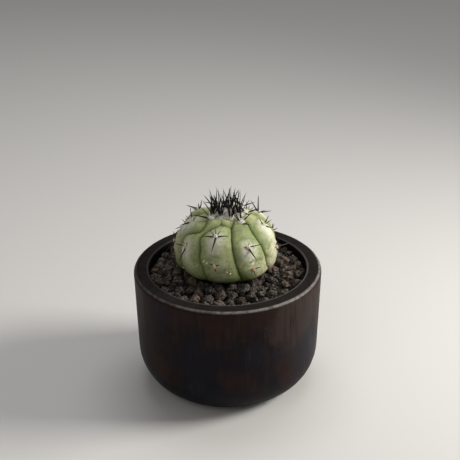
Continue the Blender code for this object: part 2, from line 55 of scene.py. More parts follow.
MOUTH_ROUNDING = 0.7 * MM
CAVITY_WAIST_RADIUS = 36 * MM
CAVITY_WAIST_HEIGHT = 22 * MM
CAVITY_FLOOR_RADIUS = 23 * MM
FLOOR_HEIGHT = 6 * MM
DRAIN_RADIUS = 4.5 * MM

SOIL_TOP = 46 * MM
BED_RADIUS = 35.7 * MM
BED_INNER_RADIUS = 18 * MM
BED_BELOW_GRAINS_AT_WALL = 1.7 * MM
BED_BELOW_GRAINS_AT_PLANT = 2.2 * MM
GRAIN_SEED = 7
GRAIN_TRIES = 6000
GRAIN_HALF_SIZES = (3.9 * MM, 3.4 * MM, 2.9 * MM, 2.4 * MM)
GRAIN_OUTER_REACH = 35.8 * MM
GRAIN_SEATING = 1.6 * MM
GRAIN_CENTRE_AT_WALL = 54.9 * MM
GRAIN_CENTRE_AT_PLANT = 58.2 * MM
GRAIN_CLOSENESS = 0.66
GRAIN_SUNK_SHARE = 0.3
GRAIN_LEAST_SINK = 0.5 * MM
GRAIN_THROW_AREA = (0.15, 1.0)
GRAIN_SIZE_SPREAD = (0.85, 1.1)
GRAIN_CORNERS = (0.82, 1.0)
GRAIN_WIDTH = (0.78, 0.98)
GRAIN_HEIGHT = (0.66, 0.9)
GRAIN_TILT = 0.5
NAMED_GRAINS = (
    (-26.5, -7.3, 3.0), (-33.8, 1.5, 2.5), (-31.5, 9.5, 3.4), (32.6, 5.5, 3.2), (28.5, 16.5, 3.3),
    (-14.5, -26.0, 2.7), (-2.5, -25.5, 3.5), (6.0, -27.0, 3.2), (14.5, -23.5, 3.0), (20.5, -18.0, 2.8),
    (-21.0, -19.0, 3.0), (27.5, -6.0, 3.4), (26.0, -14.0, 3.3), (-9.0, -30.5, 2.8), (1.5, -32.0, 2.7),
)

PLANT_X = -0.5 * MM
STEM_RADIUS = 23.3 * MM
STEM_EQUATOR = 64.4 * MM
STEM_RISE = 20.3 * MM
STEM_DROP = 7.4 * MM
STEM_SQUARENESS = 2.6
RIBS_BEGIN_DEG = 12.0
RIBS_FULL_DEG = 34.0
TUBERCLE_RISE = 0.7 * MM
TUBERCLE_HEIGHT_DEG = 13.0
TUBERCLE_WIDTH_DEG = 15.0
ROOT_TOP = 59 * MM
ROOT_TOP_RADIUS = 9 * MM
ROOT_END = 20 * MM
ROOT_END_RADIUS = 1.8 * MM
RIBS = (
    {"A0": (20, -50), "A1": (62, -54)},
    {"B1": (42, -15), "B2": (76, -13)},
    {"C0": (26, 38), "C1": (56, 27), "C2": (84, 31)},
    {"D0": (21, 94), "D1": (43, 74), "D2": (74, 75)},
    {"E1": (42, 119), "E2": (72, 113)},
    {"F0": (30, 146), "F1": (58, 152), "F2": (86, 153)},
    {"G1": (44, 190), "G2": (75, 193)},
    {"H1": (38, 230), "H2": (68, 234)},
    {"I1": (38, 281), "I2": (70, 273)},
)
SHOWN_GROOVES = {
    0: ((12, -20), (24, -14), (32, -31), (38, -37), (47, -40), (59, -34), (71, -33), (84, -27), (110, -24)),
    1: ((12, 45), (18, 31), (28, 11), (43, 8), (53, 8), (68, 10), (78, 12), (91, 16), (110, 18)),
    2: ((12, 64), (30, 52), (40, 46), (50, 46), (62, 50), (76, 53), (85, 54), (110, 60)),
    8: ((12, 260), (19, 282), (26, 312), (40, 314), (44, 306), (49, 294), (57, 291), (67, 295), (110, 299)),
}
GOLDEN_ANGLE = 137.5
CROWN_AREOLES = 11
CROWN_FIRST_DEG = 2.0
CROWN_SPREAD_DEG = 4.0
YOUNG_WOOL = (1.3 * MM, 1.2 * MM, 0.8 * MM)
OLD_WOOL = (0.85 * MM, 0.95 * MM, 0.65 * MM)
WOOL_SINK = 0.15 * MM
YOUNG_BELOW_DEG = 40.0
THICK = 0.48
MIDDLE = 0.38
THIN = 0.28
SHOWN_SPINES = {
    "A0": ((315, 38, 9.0, THICK), (225, 15, 8.5, THICK), (50, 18, 4.5, THIN), (272, 22, 7.5, THIN)),
    "A1": ((158, 25, 8.0, MIDDLE), (257, 14, 7.0, THIN), (305, 18, 3.0, THIN), (25, 18, 3.2, THIN)),
    "B1": ((174, 25, 11.5, THICK), (255, 13, 6.2, MIDDLE), (89, 13, 6.4, MIDDLE), (305, 18, 4.4, THIN),
           (351, 18, 3.6, THIN), (34, 18, 3.4, THIN)),
    "B2": ((306, 18, 3.0, THIN), (56, 18, 3.3, THIN), (157, 24, 2.8, THIN)),
    "C0": ((28, 38, 9.0, THICK), (350, 16, 5.3, MIDDLE), (78, 16, 8.0, MIDDLE), (163, 16, 4.6, THICK),
           (300, 55, 6.0, THIN)),
    "C1": ((171, 25, 7.4, THICK), (92, 13, 7.5, THIN), (276, 14, 2.6, THIN), (25, 16, 2.2, THIN)),
    "C2": ((176, 32, 3.7, THIN), (81, 14, 4.1, THIN), (285, 16, 2.5, THIN)),
    "D1": ((83, 24, 5.9, MIDDLE), (176, 18, 4.4, MIDDLE), (110, 30, 4.9, THIN), (330, 25, 5.0, THIN)),
    "D2": ((101, 32, 9.0, THICK), (190, 30, 6.5, THIN), (20, 20, 4.5, THIN), (300, 20, 3.5, THIN)),
    "E1": ((336, 38, 11.5, MIDDLE), (290, 20, 7.5, THIN), (60, 20, 7.0, MIDDLE), (170, 22, 8.0, MIDDLE)),
    "H1": ((39, 22, 8.0, MIDDLE), (17, 34, 6.6, MIDDLE), (83, 16, 5.5, THIN), (180, 24, 8.5, THICK)),
    "I1": ((297, 32, 7.2, MIDDLE), (167, 17, 6.0, THICK), (255, 17, 5.0, THIN), (30, 22, 5.0, THIN)),
}
OLD_PATTERN = (
    (174, 25, 9.5, THICK), (255, 14, 6.5, MIDDLE), (92, 14, 6.6, MIDDLE), (305, 18, 4.4, THIN),
    (350, 18, 3.8, THIN), (35, 18, 3.8, THIN),
)
YOUNG_PATTERN = (
    (20, 42, 9.0, THICK), (165, 18, 6.5, THICK), (90, 18, 7.5, MIDDLE), (265, 18, 7.5, MIDDLE),
    (325, 26, 5.5, THIN),
)
SPINE_SEED = 21
CROWN_SPINES = 5
CROWN_LENGTH_MM = (8.0, 12.0)
CROWN_LIFT_DEG = (56.0, 84.0)
SPINE_ROOT = 0.7 * MM

NO_MARKS = (0, 0, 0, 0)

# The pot's fine mesh: its steps, its small edges, and its unevenness as height and size of waves.
POT_SEGMENTS = 300
RIM_STEPS = 14
WALL_STEPS = 22
LOWER_BODY_STEPS = 26
CAVITY_STEPS = 14
LIP_STEPS = 8
POT_EDGE = 0.4 * MM
POT_WOBBLE = (0.14 * MM, 33 * MM)
POT_BRUSHING = (0.022 * MM, 2.3 * MM)
POT_BRUSH_STRETCH = (1, 1, 0.12)
POT_RIM_WAVES = (0.1 * MM, 25 * MM)
POT_RIM_SHIFT = 7.3
POT_EVEN_BELOW = 8 * MM
POT_RIM_FROM = 50 * MM
POT_INSIDE_SHARE = 0.6
# Clouds of colour on the wall: centre and reach in mm, strength, colour. The pale grey-brown one at the
# upper right is painted sheen where the key light falls.
POT_PATCHES = (
    ((-2, -43, 28), 24, 0.55, (0.0032, 0.0038, 0.009)),
    # Painted sheen: the key light's pale grey-brown on the upper right of the wall.
    ((30, -28, 48), 20, 0.8, (0.034, 0.023, 0.019)),
    ((-36, -22, 42), 15, 0.7, (0.02, 0.0085, 0.0055)),
    ((-12, -41, 34), 15, 0.7, (0.0045, 0.0036, 0.009)),
    ((36, -24, 26), 15, 0.8, (0.01, 0.011, 0.017)),
    ((0, -41, 24), 7, 0.5, (0.024, 0.009, 0.0055)),
    ((-31, -29, 22), 9, 0.8, (0.026, 0.0105, 0.0065)),
    ((-4, -43, 46), 10, 0.5, (0.03, 0.0115, 0.007)),
    ((5, -42, 21), 8, 0.45, (0.026, 0.0095, 0.0062)),
    ((14, -40, 15), 7, 0.35, (0.022, 0.0095, 0.008)),
    ((-29, -32, 50), 9, 0.7, (0.0125, 0.0064, 0.0135)),
    ((24, -35, 33), 8, 0.6, (0.0105, 0.008, 0.0135)),
    ((-14, -40, 18), 6, 0.7, (0.005, 0.0065, 0.014)),
    ((12, -41, 36), 7, 0.7, (0.006, 0.0075, 0.014)),
    ((30, 30, 34), 14, 0.8, (0.024, 0.01, 0.0065)),
    ((-30, 30, 28), 16, 0.7, (0.006, 0.0075, 0.015)),
)

# The stem's fine mesh: its steps, and how its columns crowd towards the grooves.
STEM_COLUMNS_PER_RIB = 36
STEM_ROWS = 150
STEM_TAIL_ROWS = 12
STEM_TAIL_FROM_DEG = 126.0
COLUMN_CROWDING = 1.5
# Depth and reach from a groove of the skin's rounding, of the crease and of the thin line in it.
GROOVE_SHAPE = ((1.25 * MM, 2.7 * MM), (0.26 * MM, 0.6 * MM), (0.18 * MM, 0.2 * MM))
# Strength of the thin dark line of painted shade in the grooves, by rib.
GROOVE_SHADE_LINES = (0.55, 1.0, 0.45, 0.5, 0.5, 0.5, 0.5, 0.5, 0.4)
# Reach of the thin dark line of painted shade in a groove.
GROOVE_SHADE_LINE_REACH = 0.32 * MM
# Reach of the painted shade that darkens the valley beside a groove.
VALLEY_SHADE_REACH = 2.6 * MM
LINES_BEGIN_DEG = (5, 14)
WAVES_BEGIN_DEG = (3, 14)
# What fades towards the foot: the share that goes, and the polar angles between which it goes.
RIBS_FADE = (0.5, 100, 130)
LIFT_FADE = (0.7, 60, 90)
CHIN_FADE = (0.6, 65, 85)
BLOOM_FADE = (0.9, 60, 78)
# Folds in the skin between the grooves: depth and width in mm, then polar angle and azimuth along each.
FOLDS = (
    (0.45, 0.6, ((24, -14), (26.5, -2), (28.5, 11))),
    (0.22, 0.35, ((20, -84), (25, -104), (31, -122))),
    (0.16, 0.6, ((79, -21), (83.5, -14), (83.5, -8), (80, -2))),
    (0.12, 0.8, ((64, -27), (66, -20), (65, -8), (62, 0))),
    (0.18, 0.5, ((31, 21), (33, 31), (36, 42))),
)
# The ribs whose areoles have a soft fold above them, and that fold: degrees above the areole in its middle
# and at its ends, share of the rib it leaves free at each side, depth and width.
FOLDED_RIBS = (2, 3, 4, 5, 6, 7)
FOLD_ARCH = (9.5, 6.0, 0.14, 0.28 * MM, 0.9 * MM)
FOLD_SHARP_FROM = (0.12 * MM, 0.5 * MM)
# Painted shade along the folds: the reach and share of their thin dark line.
FOLD_SHADE_LINE_REACH = 0.45 * MM
FOLD_SHADE_LINE_SHARE = 0.6
# Painted shade beside the folds: the reach of the broad darkening, and its shares for soft and sharp folds.
FOLD_SHADE_REACH = 1.9 * MM
FOLD_SHADE_SHARES = (0.35, 0.5)
# Height and size of the skin's waves.
SKIN_WAVES = ((0.32 * MM, 6.5 * MM), (0.1 * MM, 2.6 * MM), (0.04 * MM, 1.2 * MM))
# Soft ovals at each areole, in mm: width, height and how far above it. They are the dip that it sits in, the
# swelling below it, the hollow above it and the bloom.
AREOLE_SPOTS = ((1.3, 1.2, 0.0), (3.6, 3.0, -2.6), (2.6, 1.5, 2.3), (3.2, 4.6, -2.0))
AREOLE_BACK = -5.0
DIP_DEPTH = 0.25 * MM
DIP_SCAR = 0.45
CHIN_RISE = 0.3 * MM
BROW_DEPTH = 0.12 * MM
SWELLINGS_FROM_DEG = 35
# Scars and crumbs on the skin: polar angle, azimuth and size in mm.
SCARS = ((72, -26, 0.9), (73.5, -22, 0.8), (71, 27, 1.1), (69, 31, 0.8), (76, 31, 1.0), (74, 25, 0.7),
         (70, 118, 1.0), (64, 200, 1.2), (77, 250, 0.9))
SCAR_SLANT = 0.6
SCAR_NARROWNESS = (2.6, 1.2)
SPECKS = ((83, 0.5, 0.42), (85.5, 4, 0.5), (80, -34, 0.3), (88, 60, 0.35), (85, 128, 0.4), (82, 215, 0.45))
SPECK_SEED = 5
SPECK_KNOBS = (0.75, 1.1)
SPECK_SHAPE = (1.0, 0.8, 0.5)
SPECK_PROUD = 0.05 * MM
# Clouds of colour on the skin: centre and reach in mm, strength, colour.
SKIN_PATCHES = (
    ((9, -12, 80), 7, 0.7, (0.15, 0.2, 0.062)),
    ((15, -11, 77), 5, 0.6, (0.15, 0.2, 0.062)),
    ((-9, -21, 70), 4, 0.45, (0.15, 0.2, 0.06)),
    ((22, -6, 70), 9, 0.8, (0.6, 0.59, 0.42)),
    ((18, -14, 63), 9, 0.75, (0.54, 0.505, 0.335)),
    ((13, -19, 61), 4, 0.6, (0.42, 0.33, 0.17)),
    ((-3, -24, 64), 4, 0.4, (0.3, 0.29, 0.2)),
    ((21, 6, 66), 7, 0.55, (0.5, 0.46, 0.3)),
    ((-16, 17, 63), 8, 0.5, (0.42, 0.35, 0.19)),
)

# The areoles' wool and the spines. Hairs are given as how many, and their shortest and longest in mm.
YOUNG_HAIRS = (150, (0.6, 1.6))
OLD_HAIRS = (70, (0.3, 0.85))
CROWN_HAIRS = (150, (0.8, 2.1))
AGEING_DEG = (15, 80)
WOOL_LUMPS = (0.22, 0.55 * MM)
HAIR_SIDES = 3
HAIR_RADII = (0.045 * MM, 0.035 * MM)
HAIR_SPREAD = 0.95
HAIR_ROOT = 0.9
HAIR_LEAN = 0.55
HAIR_BEND_AT = 0.55
HAIR_CURL = 0.45
THREAD_SIDEWAYS = (0.31, 0.87, 0.38)
SPINE_STEPS = 7
SPINE_SIDES = 8
SPINE_BOW = 0.03
SPINE_SWAY = 0.02
SPINE_TAPER = (0.8, 1.3)
# More wool on the crown, at polar angles and azimuths read off the photo and at thrown ones.
CROWN_TUFTS = ((5, 9), (8, 41), (10, -120), (10, 80), (14, 20), (15, -20), (20, 97), (21, -162), (24, 134),
               (31, 140), (15, -75), (17, 62))
CROWN_EXTRA_TUFTS = 8
CROWN_THROW_DEG = (2, 18)
CROWN_TUFT_SCALE = (0.8, 1.2)
CROWN_TUFT_HAIRS = (80, (0.7, 1.8))
# Thinner spines between the crown's own: how many at each areole, their lift, length and radius in mm.
CROWN_EXTRA_SPINES = 2
CROWN_EXTRA_SPINE = ((35, 80), (4.0, 10.0), 0.24)
CROWN_SPINE_THINNER = 0.92

# The taproot's fine mesh, with its unevenness as height and size of waves.
ROOT_ROWS = 60
ROOT_SIDES = 48
ROOT_WRINKLES = (0.16 * MM, 2 * MM)
ROOT_WRINKLE_STRETCH = (0.5, 0.5, 2.2)
ROOT_LUMPS = (0.18 * MM, 5 * MM)
ROOT_SHRINK = 0.12 * MM

# The grains' fine mesh. The knobs' heights and sizes are shares of the grain, those of its tooth are real.
GRAIN_CUTS = 8
GRAIN_SWELL = 1.15
GRAIN_CHIPPED_SIDES = 8
GRAIN_CHIP_AT = (0.54, 0.86)
GRAIN_KNOBS = ((0.14, 0.8), (0.09, 0.34))
GRAIN_TOOTH = (0.09 * MM, 0.55 * MM)
GRAIN_WALL = 35.9 * MM
# Hollows in a grain: size of the cells, depth, and the two values between which a hollow opens. Rising
# values make a round pore in the middle of each cell, falling ones a crease between two cells.
GRAIN_HOLLOWS = ((2.1 * MM, 0.5 * MM, 0.24, 0.0), (1.35 * MM, 0.42 * MM, 0.1, 0.36),
                 (0.8 * MM, 0.14 * MM, 0.12, 0.34))
# The colours of some named grains: lightness, warmth.
NAMED_TINTS = {5: (0.95, 1.0, 0, 0), 6: (0.75, 0.25, 0, 0), 7: (0.45, 0.9, 0, 0), 0: (0.8, 0.2, 0, 0)}
CHIPS = 260
CHIP_CUTS = 2
CHIP_HALF_SIZE_MM = (0.7, 1.7)
CHIP_REACH = (19 * MM, 35.3 * MM)
CHIP_RISE_MM = 1.3
BED_SIDES = 220
BED_STEPS = 42
BED_TO_ROOT = 0.6 * MM
BED_CRUMBS = ((0.55 * MM, 1.5 * MM), (0.5 * MM, 3.4 * MM))
# The bed's marks: lightness, warmth, and full painted shade for the gaps under the grains.
BED_TINT_AND_SHADE = (0.2, 0, 1, 0)

# The camera, the floor and the lights. A lamp has a place, a size and its watts, and the key light has a
# colour and a spread in degrees as well.
CAMERA_WIDTH_DEG = 24
CAMERA_DOWN_DEG = 26.5
CAMERA_ROLL_DEG = 0.45
CAMERA_AWAY = 496.7 * MM
CAMERA_AIM_HEIGHT = 57.9 * MM
CAMERA_AIM_RIGHT = 1.27 * MM
CAMERA_AIM_UP = 16.13 * MM
FLOOR_REACH = 4.0
FLOOR_COLOUR = (0.62, 0.61, 0.595)
WORLD_COLOUR = (1.0, 0.985, 0.965)
WORLD_STRENGTH = 0.22
LAMP_AIM_HEIGHT = 55 * MM
LAMPS = (
    ("key", (0.54, 0.02, 0.34), (0.22, 0.22), 1.2, (1.0, 0.97, 0.92), 90.0),
    ("top", (0.04, 0.24, 0.72), (0.55, 0.35), 1.9),
    ("fill", (-0.28, -0.48, 0.5), (0.4, 0.4), 0.55),
)


def smooth_step(low, high, value):
    t = np.clip((value - low) / (high - low), 0.0, 1.0)
    return t * t * (3 - 2 * t)


def unit(vectors):
    return vectors / np.linalg.norm(vectors, axis=-1, keepdims=True)


def waves(points, size, shift=0.0):
    """Smooth noise from -1 to 1 at each point, with features of the given size."""
    flat = points.reshape(-1, 3) / size + shift
    return np.array([noise.noise(Vector(p)) for p in flat]).reshape(points.shape[:-1])


def rough(points, *layers, shift=0.0):
    """Sum of waves at each point, from the height and size of each layer."""
    return sum(height * waves(points, size, shift) for height, size in layers)


def fading(fade, polar):
    """1 high on the stem, less by a share further down."""
    share, begin, end = fade
    return 1 - share * smooth_step(begin, end, polar)


def turned(outline, sides):
    """Points of a turned profile, a row for each of its (radius, height) points, and the ways outward."""
    radius, height = np.array(outline).T[..., None]
    turn = np.arange(sides) / sides * math.tau
    outward = np.stack(np.broadcast_arrays(np.cos(turn), np.sin(turn), height * 0), -1)
    points = outward * radius[..., None]
    points[..., 2] += height
    return points, outward


def flipped(faces):
    """The faces turned to look the other way."""
    return [tuple(reversed(face)) for face in faces]


def shown(name, data):
    """A new object in the scene."""
    made = bpy.data.objects.new(name, data)
    bpy.context.scene.collection.objects.link(made)
    return made


class Heap:
    """Gathers closed shapes in one mesh. Each point has a mark: four numbers that its material reads."""

    def __init__(self):
        self.points = []
        self.faces = []
        self.marks = []
        self.count = 0

    def add(self, points, faces, marks):
        """Add a shape. Marks are one row for the whole shape, or a row for each point."""
        self.points.append(points)
        self.faces += [[i + self.count for i in face] for face in faces]
        self.marks.append(np.broadcast_to(marks, (len(points), 4)))
        self.count += len(points)

    def piece(self, name, finish, slot, *nodes):
        """Turn the heap into a piece of the object."""
        mesh = bpy.data.meshes.new(name)
        mesh.from_pydata(np.concatenate(self.points), [], self.faces)
        marks = mesh.attributes.new("marks", "FLOAT_COLOR", "POINT")
        marks.data.foreach_set("color", np.concatenate(self.marks).astype(np.float32).ravel())
        mesh.shade_smooth()
        mesh.materials.append(finish)
        made = shown(name, mesh)
        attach(made, "root")
        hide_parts(*nodes)


def grid_faces(rows, columns, closed_rows=False):
    """Quads of a grid that closes round on its columns, and on its rows too if asked."""
    faces = []
    for i in range(rows if closed_rows else rows - 1):
        a = i * columns
        b = (i + 1) % rows * columns
        for j in range(columns):
            k = (j + 1) % columns
            faces.append((a + j, b + j, b + k, a + k))
    return faces


class Finish:
    """Builds one Principled material, colour over colour. Places are read in the object's own metres."""

    def __init__(self, name, **fixed):
        self.material = bpy.data.materials.new(name)
        self.material.use_nodes = True
        self.tree = self.material.node_tree
        self.shader = self.tree.nodes["Principled BSDF"]
        for socket, value in fixed.items():
            self.shader.inputs[socket.replace("_", " ")].default_value = value
        self.place = self.tree.nodes.new("ShaderNodeTexCoord").outputs["Object"]
        self.colour = None

    def node(self, kind, inputs=(), **settings):
        made = self.tree.nodes.new(kind)
        for name, value in settings.items():
            setattr(made, name, value)
        for socket, value in dict(inputs).items():
            self.feed(made.inputs[socket], value)
        return made

    def feed(self, socket, value):
        """Give a socket a value, or link it to another one."""
        if isinstance(value, bpy.types.NodeSocket):
            self.tree.links.new(value, socket)
        elif socket.type == "RGBA":
            socket.default_value = (*value, 1.0)
        else:
            socket.default_value = value

    def stretched(self, x, y, z):
        return self.node("ShaderNodeMapping", {"Vector": self.place, "Scale": (x, y, z)}).outputs["Vector"]

    def noise(self, size, detail=3.0, roughness=0.5, place=None):
        """Noise from 0 to 1, with features about the given size."""
        values = {"Vector": place or self.place, "Scale": 1 / size, "Detail": detail}
        return self.node("ShaderNodeTexNoise", {**values, "Roughness": roughness}).outputs["Fac"]

    def cells(self, size):
        """Distance from the middle of the nearest cell, in cells of the given size."""
        values = {"Vector": self.place, "Scale": 1 / size}
        return self.node("ShaderNodeTexVoronoi", values).outputs["Distance"]

    def work(self, operation, *values):
        made = self.node("ShaderNodeMath", dict(enumerate(values)), operation=operation)
        return made.outputs["Value"]

    def times(self, first, second):
        return self.work("MULTIPLY", first, second)

    def moved(self, value, by, amount=1.0):
        """A value plus some amount of another."""
        return self.work("ADD", value, self.times(by, amount))

    def blend(self, first, second, share):
        """Two values in one, with this share of the second."""
        return self.moved(self.times(first, 1 - share), second, share)

    def span(self, value, low, high, to_low=0.0, to_high=1.0):
        """Map a value smoothly from one range to another, and hold it at the ends."""
        values = dict(enumerate((value, low, high, to_low, to_high)))
        return self.node("ShaderNodeMapRange", values, interpolation_type="SMOOTHSTEP").outputs["Result"]

    def ramp(self, value, *stops):
        made = self.node("ShaderNodeValToRGB", {"Fac": value})
        elements = made.color_ramp.elements
        while len(elements) < len(stops):
            elements.new(0.5)
        for element, (position, colour) in zip(elements, stops):
            element.position = position
            element.color = (*colour, 1.0)
        return made.outputs["Color"]

    def mix(self, share, first, second):
        made = self.node("ShaderNodeMix", data_type="RGBA")
        for index, value in ((0, share), (6, first), (7, second)):
            self.feed(made.inputs[index], value)
        return made.outputs[2]

    def coat(self, share, colour):
        """Lay a colour over the colour so far."""
        self.colour = self.mix(share, self.colour, colour)

    def patches(self, table, broken):
        """Lay on clouds of colour: centre and reach in mm, strength, colour. A value breaks them up."""
        for centre, reach, share, colour in table:
            here = self.times(self.near([v * MM for v in centre], reach * MM), share)
            self.coat(self.times(here, broken), colour)

    def marks(self):
        """The four marks of the mesh's points."""
        read = self.node("ShaderNodeAttribute", attribute_name="marks")
        split = self.node("ShaderNodeSeparateColor", {"Color": read.outputs["Color"]})
        return (*split.outputs, read.outputs["Alpha"])

    def axes(self):
        return self.node("ShaderNodeSeparateXYZ", {"Vector": self.place}).outputs

    def near(self, centre, reach):
        """1 at a place, falling to 0 at about the reach from it, with a ragged edge."""
        values = {0: self.place, 1: centre}
        away = self.node("ShaderNodeVectorMath", values, operation="DISTANCE").outputs["Value"]
        ragged = self.moved(away, self.noise(reach / 2, 5.0, 0.7), reach * 1.6)
        return self.span(ragged, reach * 1.35, reach * 1.75, 1.0, 0.0)

    def bump(self, height, distance, strength=1.0, below=None):
        values = {"Height": height, "Distance": distance, "Strength": strength}
        if below:
            values["Normal"] = below
        return self.node("ShaderNodeBump", values).outputs["Normal"]

    def done(self, roughness=None, normal=None):
        """Connect the colour, and the roughness and bump if given."""
        for socket, value in (("Base Color", self.colour), ("Roughness", roughness), ("Normal", normal)):
            if value is not None:
                self.feed(self.shader.inputs[socket], value)
        return self.material


def arc(centre, radii, start_deg, end_deg, steps):
    """Points on an ellipse arc in the profile plane, from start to end."""
    points = []
    for i in range(steps + 1):
        a = math.radians(start_deg + (end_deg - start_deg) * i / steps)
        points.append((centre[0] + radii[0] * math.cos(a), centre[1] + radii[1] * math.sin(a)))
    return points


def line(start, end, steps):
    """Points between two points of the profile, without its ends."""
    return [tuple(a + (b - a) * i / steps for a, b in zip(start, end)) for i in range(1, steps)]


def pot_outline():
    """The pot's profile: its points down the outer side, and those back up the inside."""
    rim_centre = (RIM_RADIUS - RIM_ROUNDING, POT_HEIGHT - RIM_ROUNDING)
    lip_centre = (MOUTH_RADIUS + MOUTH_ROUNDING, POT_HEIGHT - MOUTH_ROUNDING)
    lower_body = (WAIST_RADIUS - FOOT_RADIUS, WAIST_HEIGHT)
    cavity_corner = (CAVITY_WAIST_RADIUS - CAVITY_FLOOR_RADIUS, CAVITY_WAIST_HEIGHT - FLOOR_HEIGHT)
    outer = arc(rim_centre, (RIM_ROUNDING, RIM_ROUNDING), 90, 0, RIM_STEPS)
    outer += line(outer[-1], (WAIST_RADIUS, WAIST_HEIGHT), WALL_STEPS)
    outer += arc((FOOT_RADIUS, WAIST_HEIGHT), lower_body, 0, -90, LOWER_BODY_STEPS)
    inner = [(FOOT_INNER_RADIUS + POT_EDGE, 0.0), (FOOT_INNER_RADIUS, 0.3 * POT_EDGE)]
    inner += [(FOOT_INNER_RADIUS - FOOT_RECESS, FOOT_RECESS), (DRAIN_RADIUS + POT_EDGE, FOOT_RECESS)]
    inner += [(DRAIN_RADIUS, FOOT_RECESS + POT_EDGE), (DRAIN_RADIUS, FLOOR_HEIGHT - POT_EDGE)]
    inner += [(DRAIN_RADIUS + POT_EDGE, FLOOR_HEIGHT)]
    inner += arc((CAVITY_FLOOR_RADIUS, CAVITY_WAIST_HEIGHT), cavity_corner, -90, 0, CAVITY_STEPS)
    inner += line(inner[-1], (MOUTH_RADIUS, POT_HEIGHT - MOUTH_ROUNDING), WALL_STEPS)
    inner += arc(lip_centre, (MOUTH_ROUNDING, MOUTH_ROUNDING), 180, 90, LIP_STEPS)
    inner += line(inner[-1], outer[0], LIP_STEPS)
    return outer, inner


def pot():
    """The pot turned finely, with the slight unevenness of a hand-turned and burnished wall."""
    outer, inner = pot_outline()
    places, outward = turned(outer + inner, POT_SEGMENTS)
    z = np.array(outer + inner)[:, 1:]
    wall = (np.arange(len(z)) < len(outer))[:, None] * smooth_step(0.0, POT_EVEN_BELOW, z)
    rim = smooth_step(POT_RIM_FROM, POT_HEIGHT, z)
    push = rough(places, POT_WOBBLE) + rough(places * POT_BRUSH_STRETCH, POT_BRUSHING)
    places += outward * (push * np.maximum(wall, rim * POT_INSIDE_SHARE))[..., None]
    places[..., 2] += rough(places, POT_RIM_WAVES, shift=POT_RIM_SHIFT) * rim
    heap = Heap()
    heap.add(places.reshape(-1, 3), grid_faces(len(z), POT_SEGMENTS, closed_rows=True), NO_MARKS)
    heap.piece("burnished_pot", pot_finish(), "burnished_stoneware", "pot")


def pot_finish():
    """Burnished stoneware: brown to blue-black clouds under upright brush streaks, and a rim whose pale
    edges are part wear, part painted highlight.
    """
    f = Finish("burnished_stoneware", Specular_IOR_Level=0.1)
    streaks = f.noise(2.2 * MM, 4.0, 0.65, f.stretched(1, 1, 0.1))
    fine = f.noise(0.7 * MM, 3.0, 0.6, f.stretched(1, 1, 0.06))
    clouds = f.noise(24 * MM, 4.0, 0.62, f.stretched(1, 1, 0.7))
    wall_colours(f, streaks, clouds)
    flat, worn_and_highlit_edge = rim_colours(f)
    worn = f.span(fine, 0.6, 0.75, 0.0, 0.35)
    f.coat(worn, (0.034, 0.027, 0.024))
    roughness = f.span(f.blend(clouds, streaks, 0.5), 0.35, 0.65, 0.42, 0.58)
    roughness = f.moved(roughness, f.work("SUBTRACT", flat, worn_and_highlit_edge), 0.25)
    pits = f.span(f.cells(1.7 * MM), 0.0, 0.12, 1.0, 0.0)
    relief = f.moved(f.blend(streaks, fine, 0.3), pits, -0.25)
    return f.done(roughness, f.bump(relief, 0.1 * MM, 0.55))


def wall_colours(f, streaks, clouds):
    """Broad clouds with small dabs in them, a brown band above, painted shade at the foot, patches with one
    painted sheen, and streaks.
    """
    z = f.axes()["Z"]
    f.colour = f.ramp(f.blend(clouds, streaks, 0.28), (0.41, (0.002, 0.0027, 0.0052)),
                      (0.47, (0.0045, 0.003, 0.0052)), (0.52, (0.009, 0.0045, 0.0036)),
                      (0.59, (0.022, 0.0088, 0.0056)))
    dabs = f.ramp(f.noise(6 * MM, 4.0, 0.6, f.stretched(1, 1, 0.55)), (0.36, (0.003, 0.005, 0.012)),
                  (0.46, (0.0085, 0.004, 0.011)), (0.53, (0.01, 0.0054, 0.004)),
                  (0.62, (0.021, 0.008, 0.005)))
    dabbed = f.span(f.noise(11 * MM, 3.0, 0.6), 0.4, 0.56, 0.1, 0.7)
    f.coat(dabbed, dabs)
    band = f.span(f.moved(z, streaks, 9 * MM), 49 * MM, 57 * MM, 0.0, 0.85)
    f.coat(band, (0.019, 0.0086, 0.006))
    # Painted shade: the wall darkens to near black towards the bottom, under the body.
    foot_shade = f.span(f.moved(z, clouds, 10 * MM), 10 * MM, 30 * MM, 0.9, 0.0)
    f.coat(foot_shade, (0.0026, 0.0028, 0.0056))
    f.patches(POT_PATCHES, f.span(streaks, 0.3, 0.6, 0.35, 1.0))
    pale, dark = f.span(streaks, 0.56, 0.7, 0.0, 0.45), f.span(streaks, 0.32, 0.44, 0.5, 0.0)
    f.coat(pale, (0.026, 0.019, 0.018))
    f.coat(dark, (0.0022, 0.0024, 0.004))


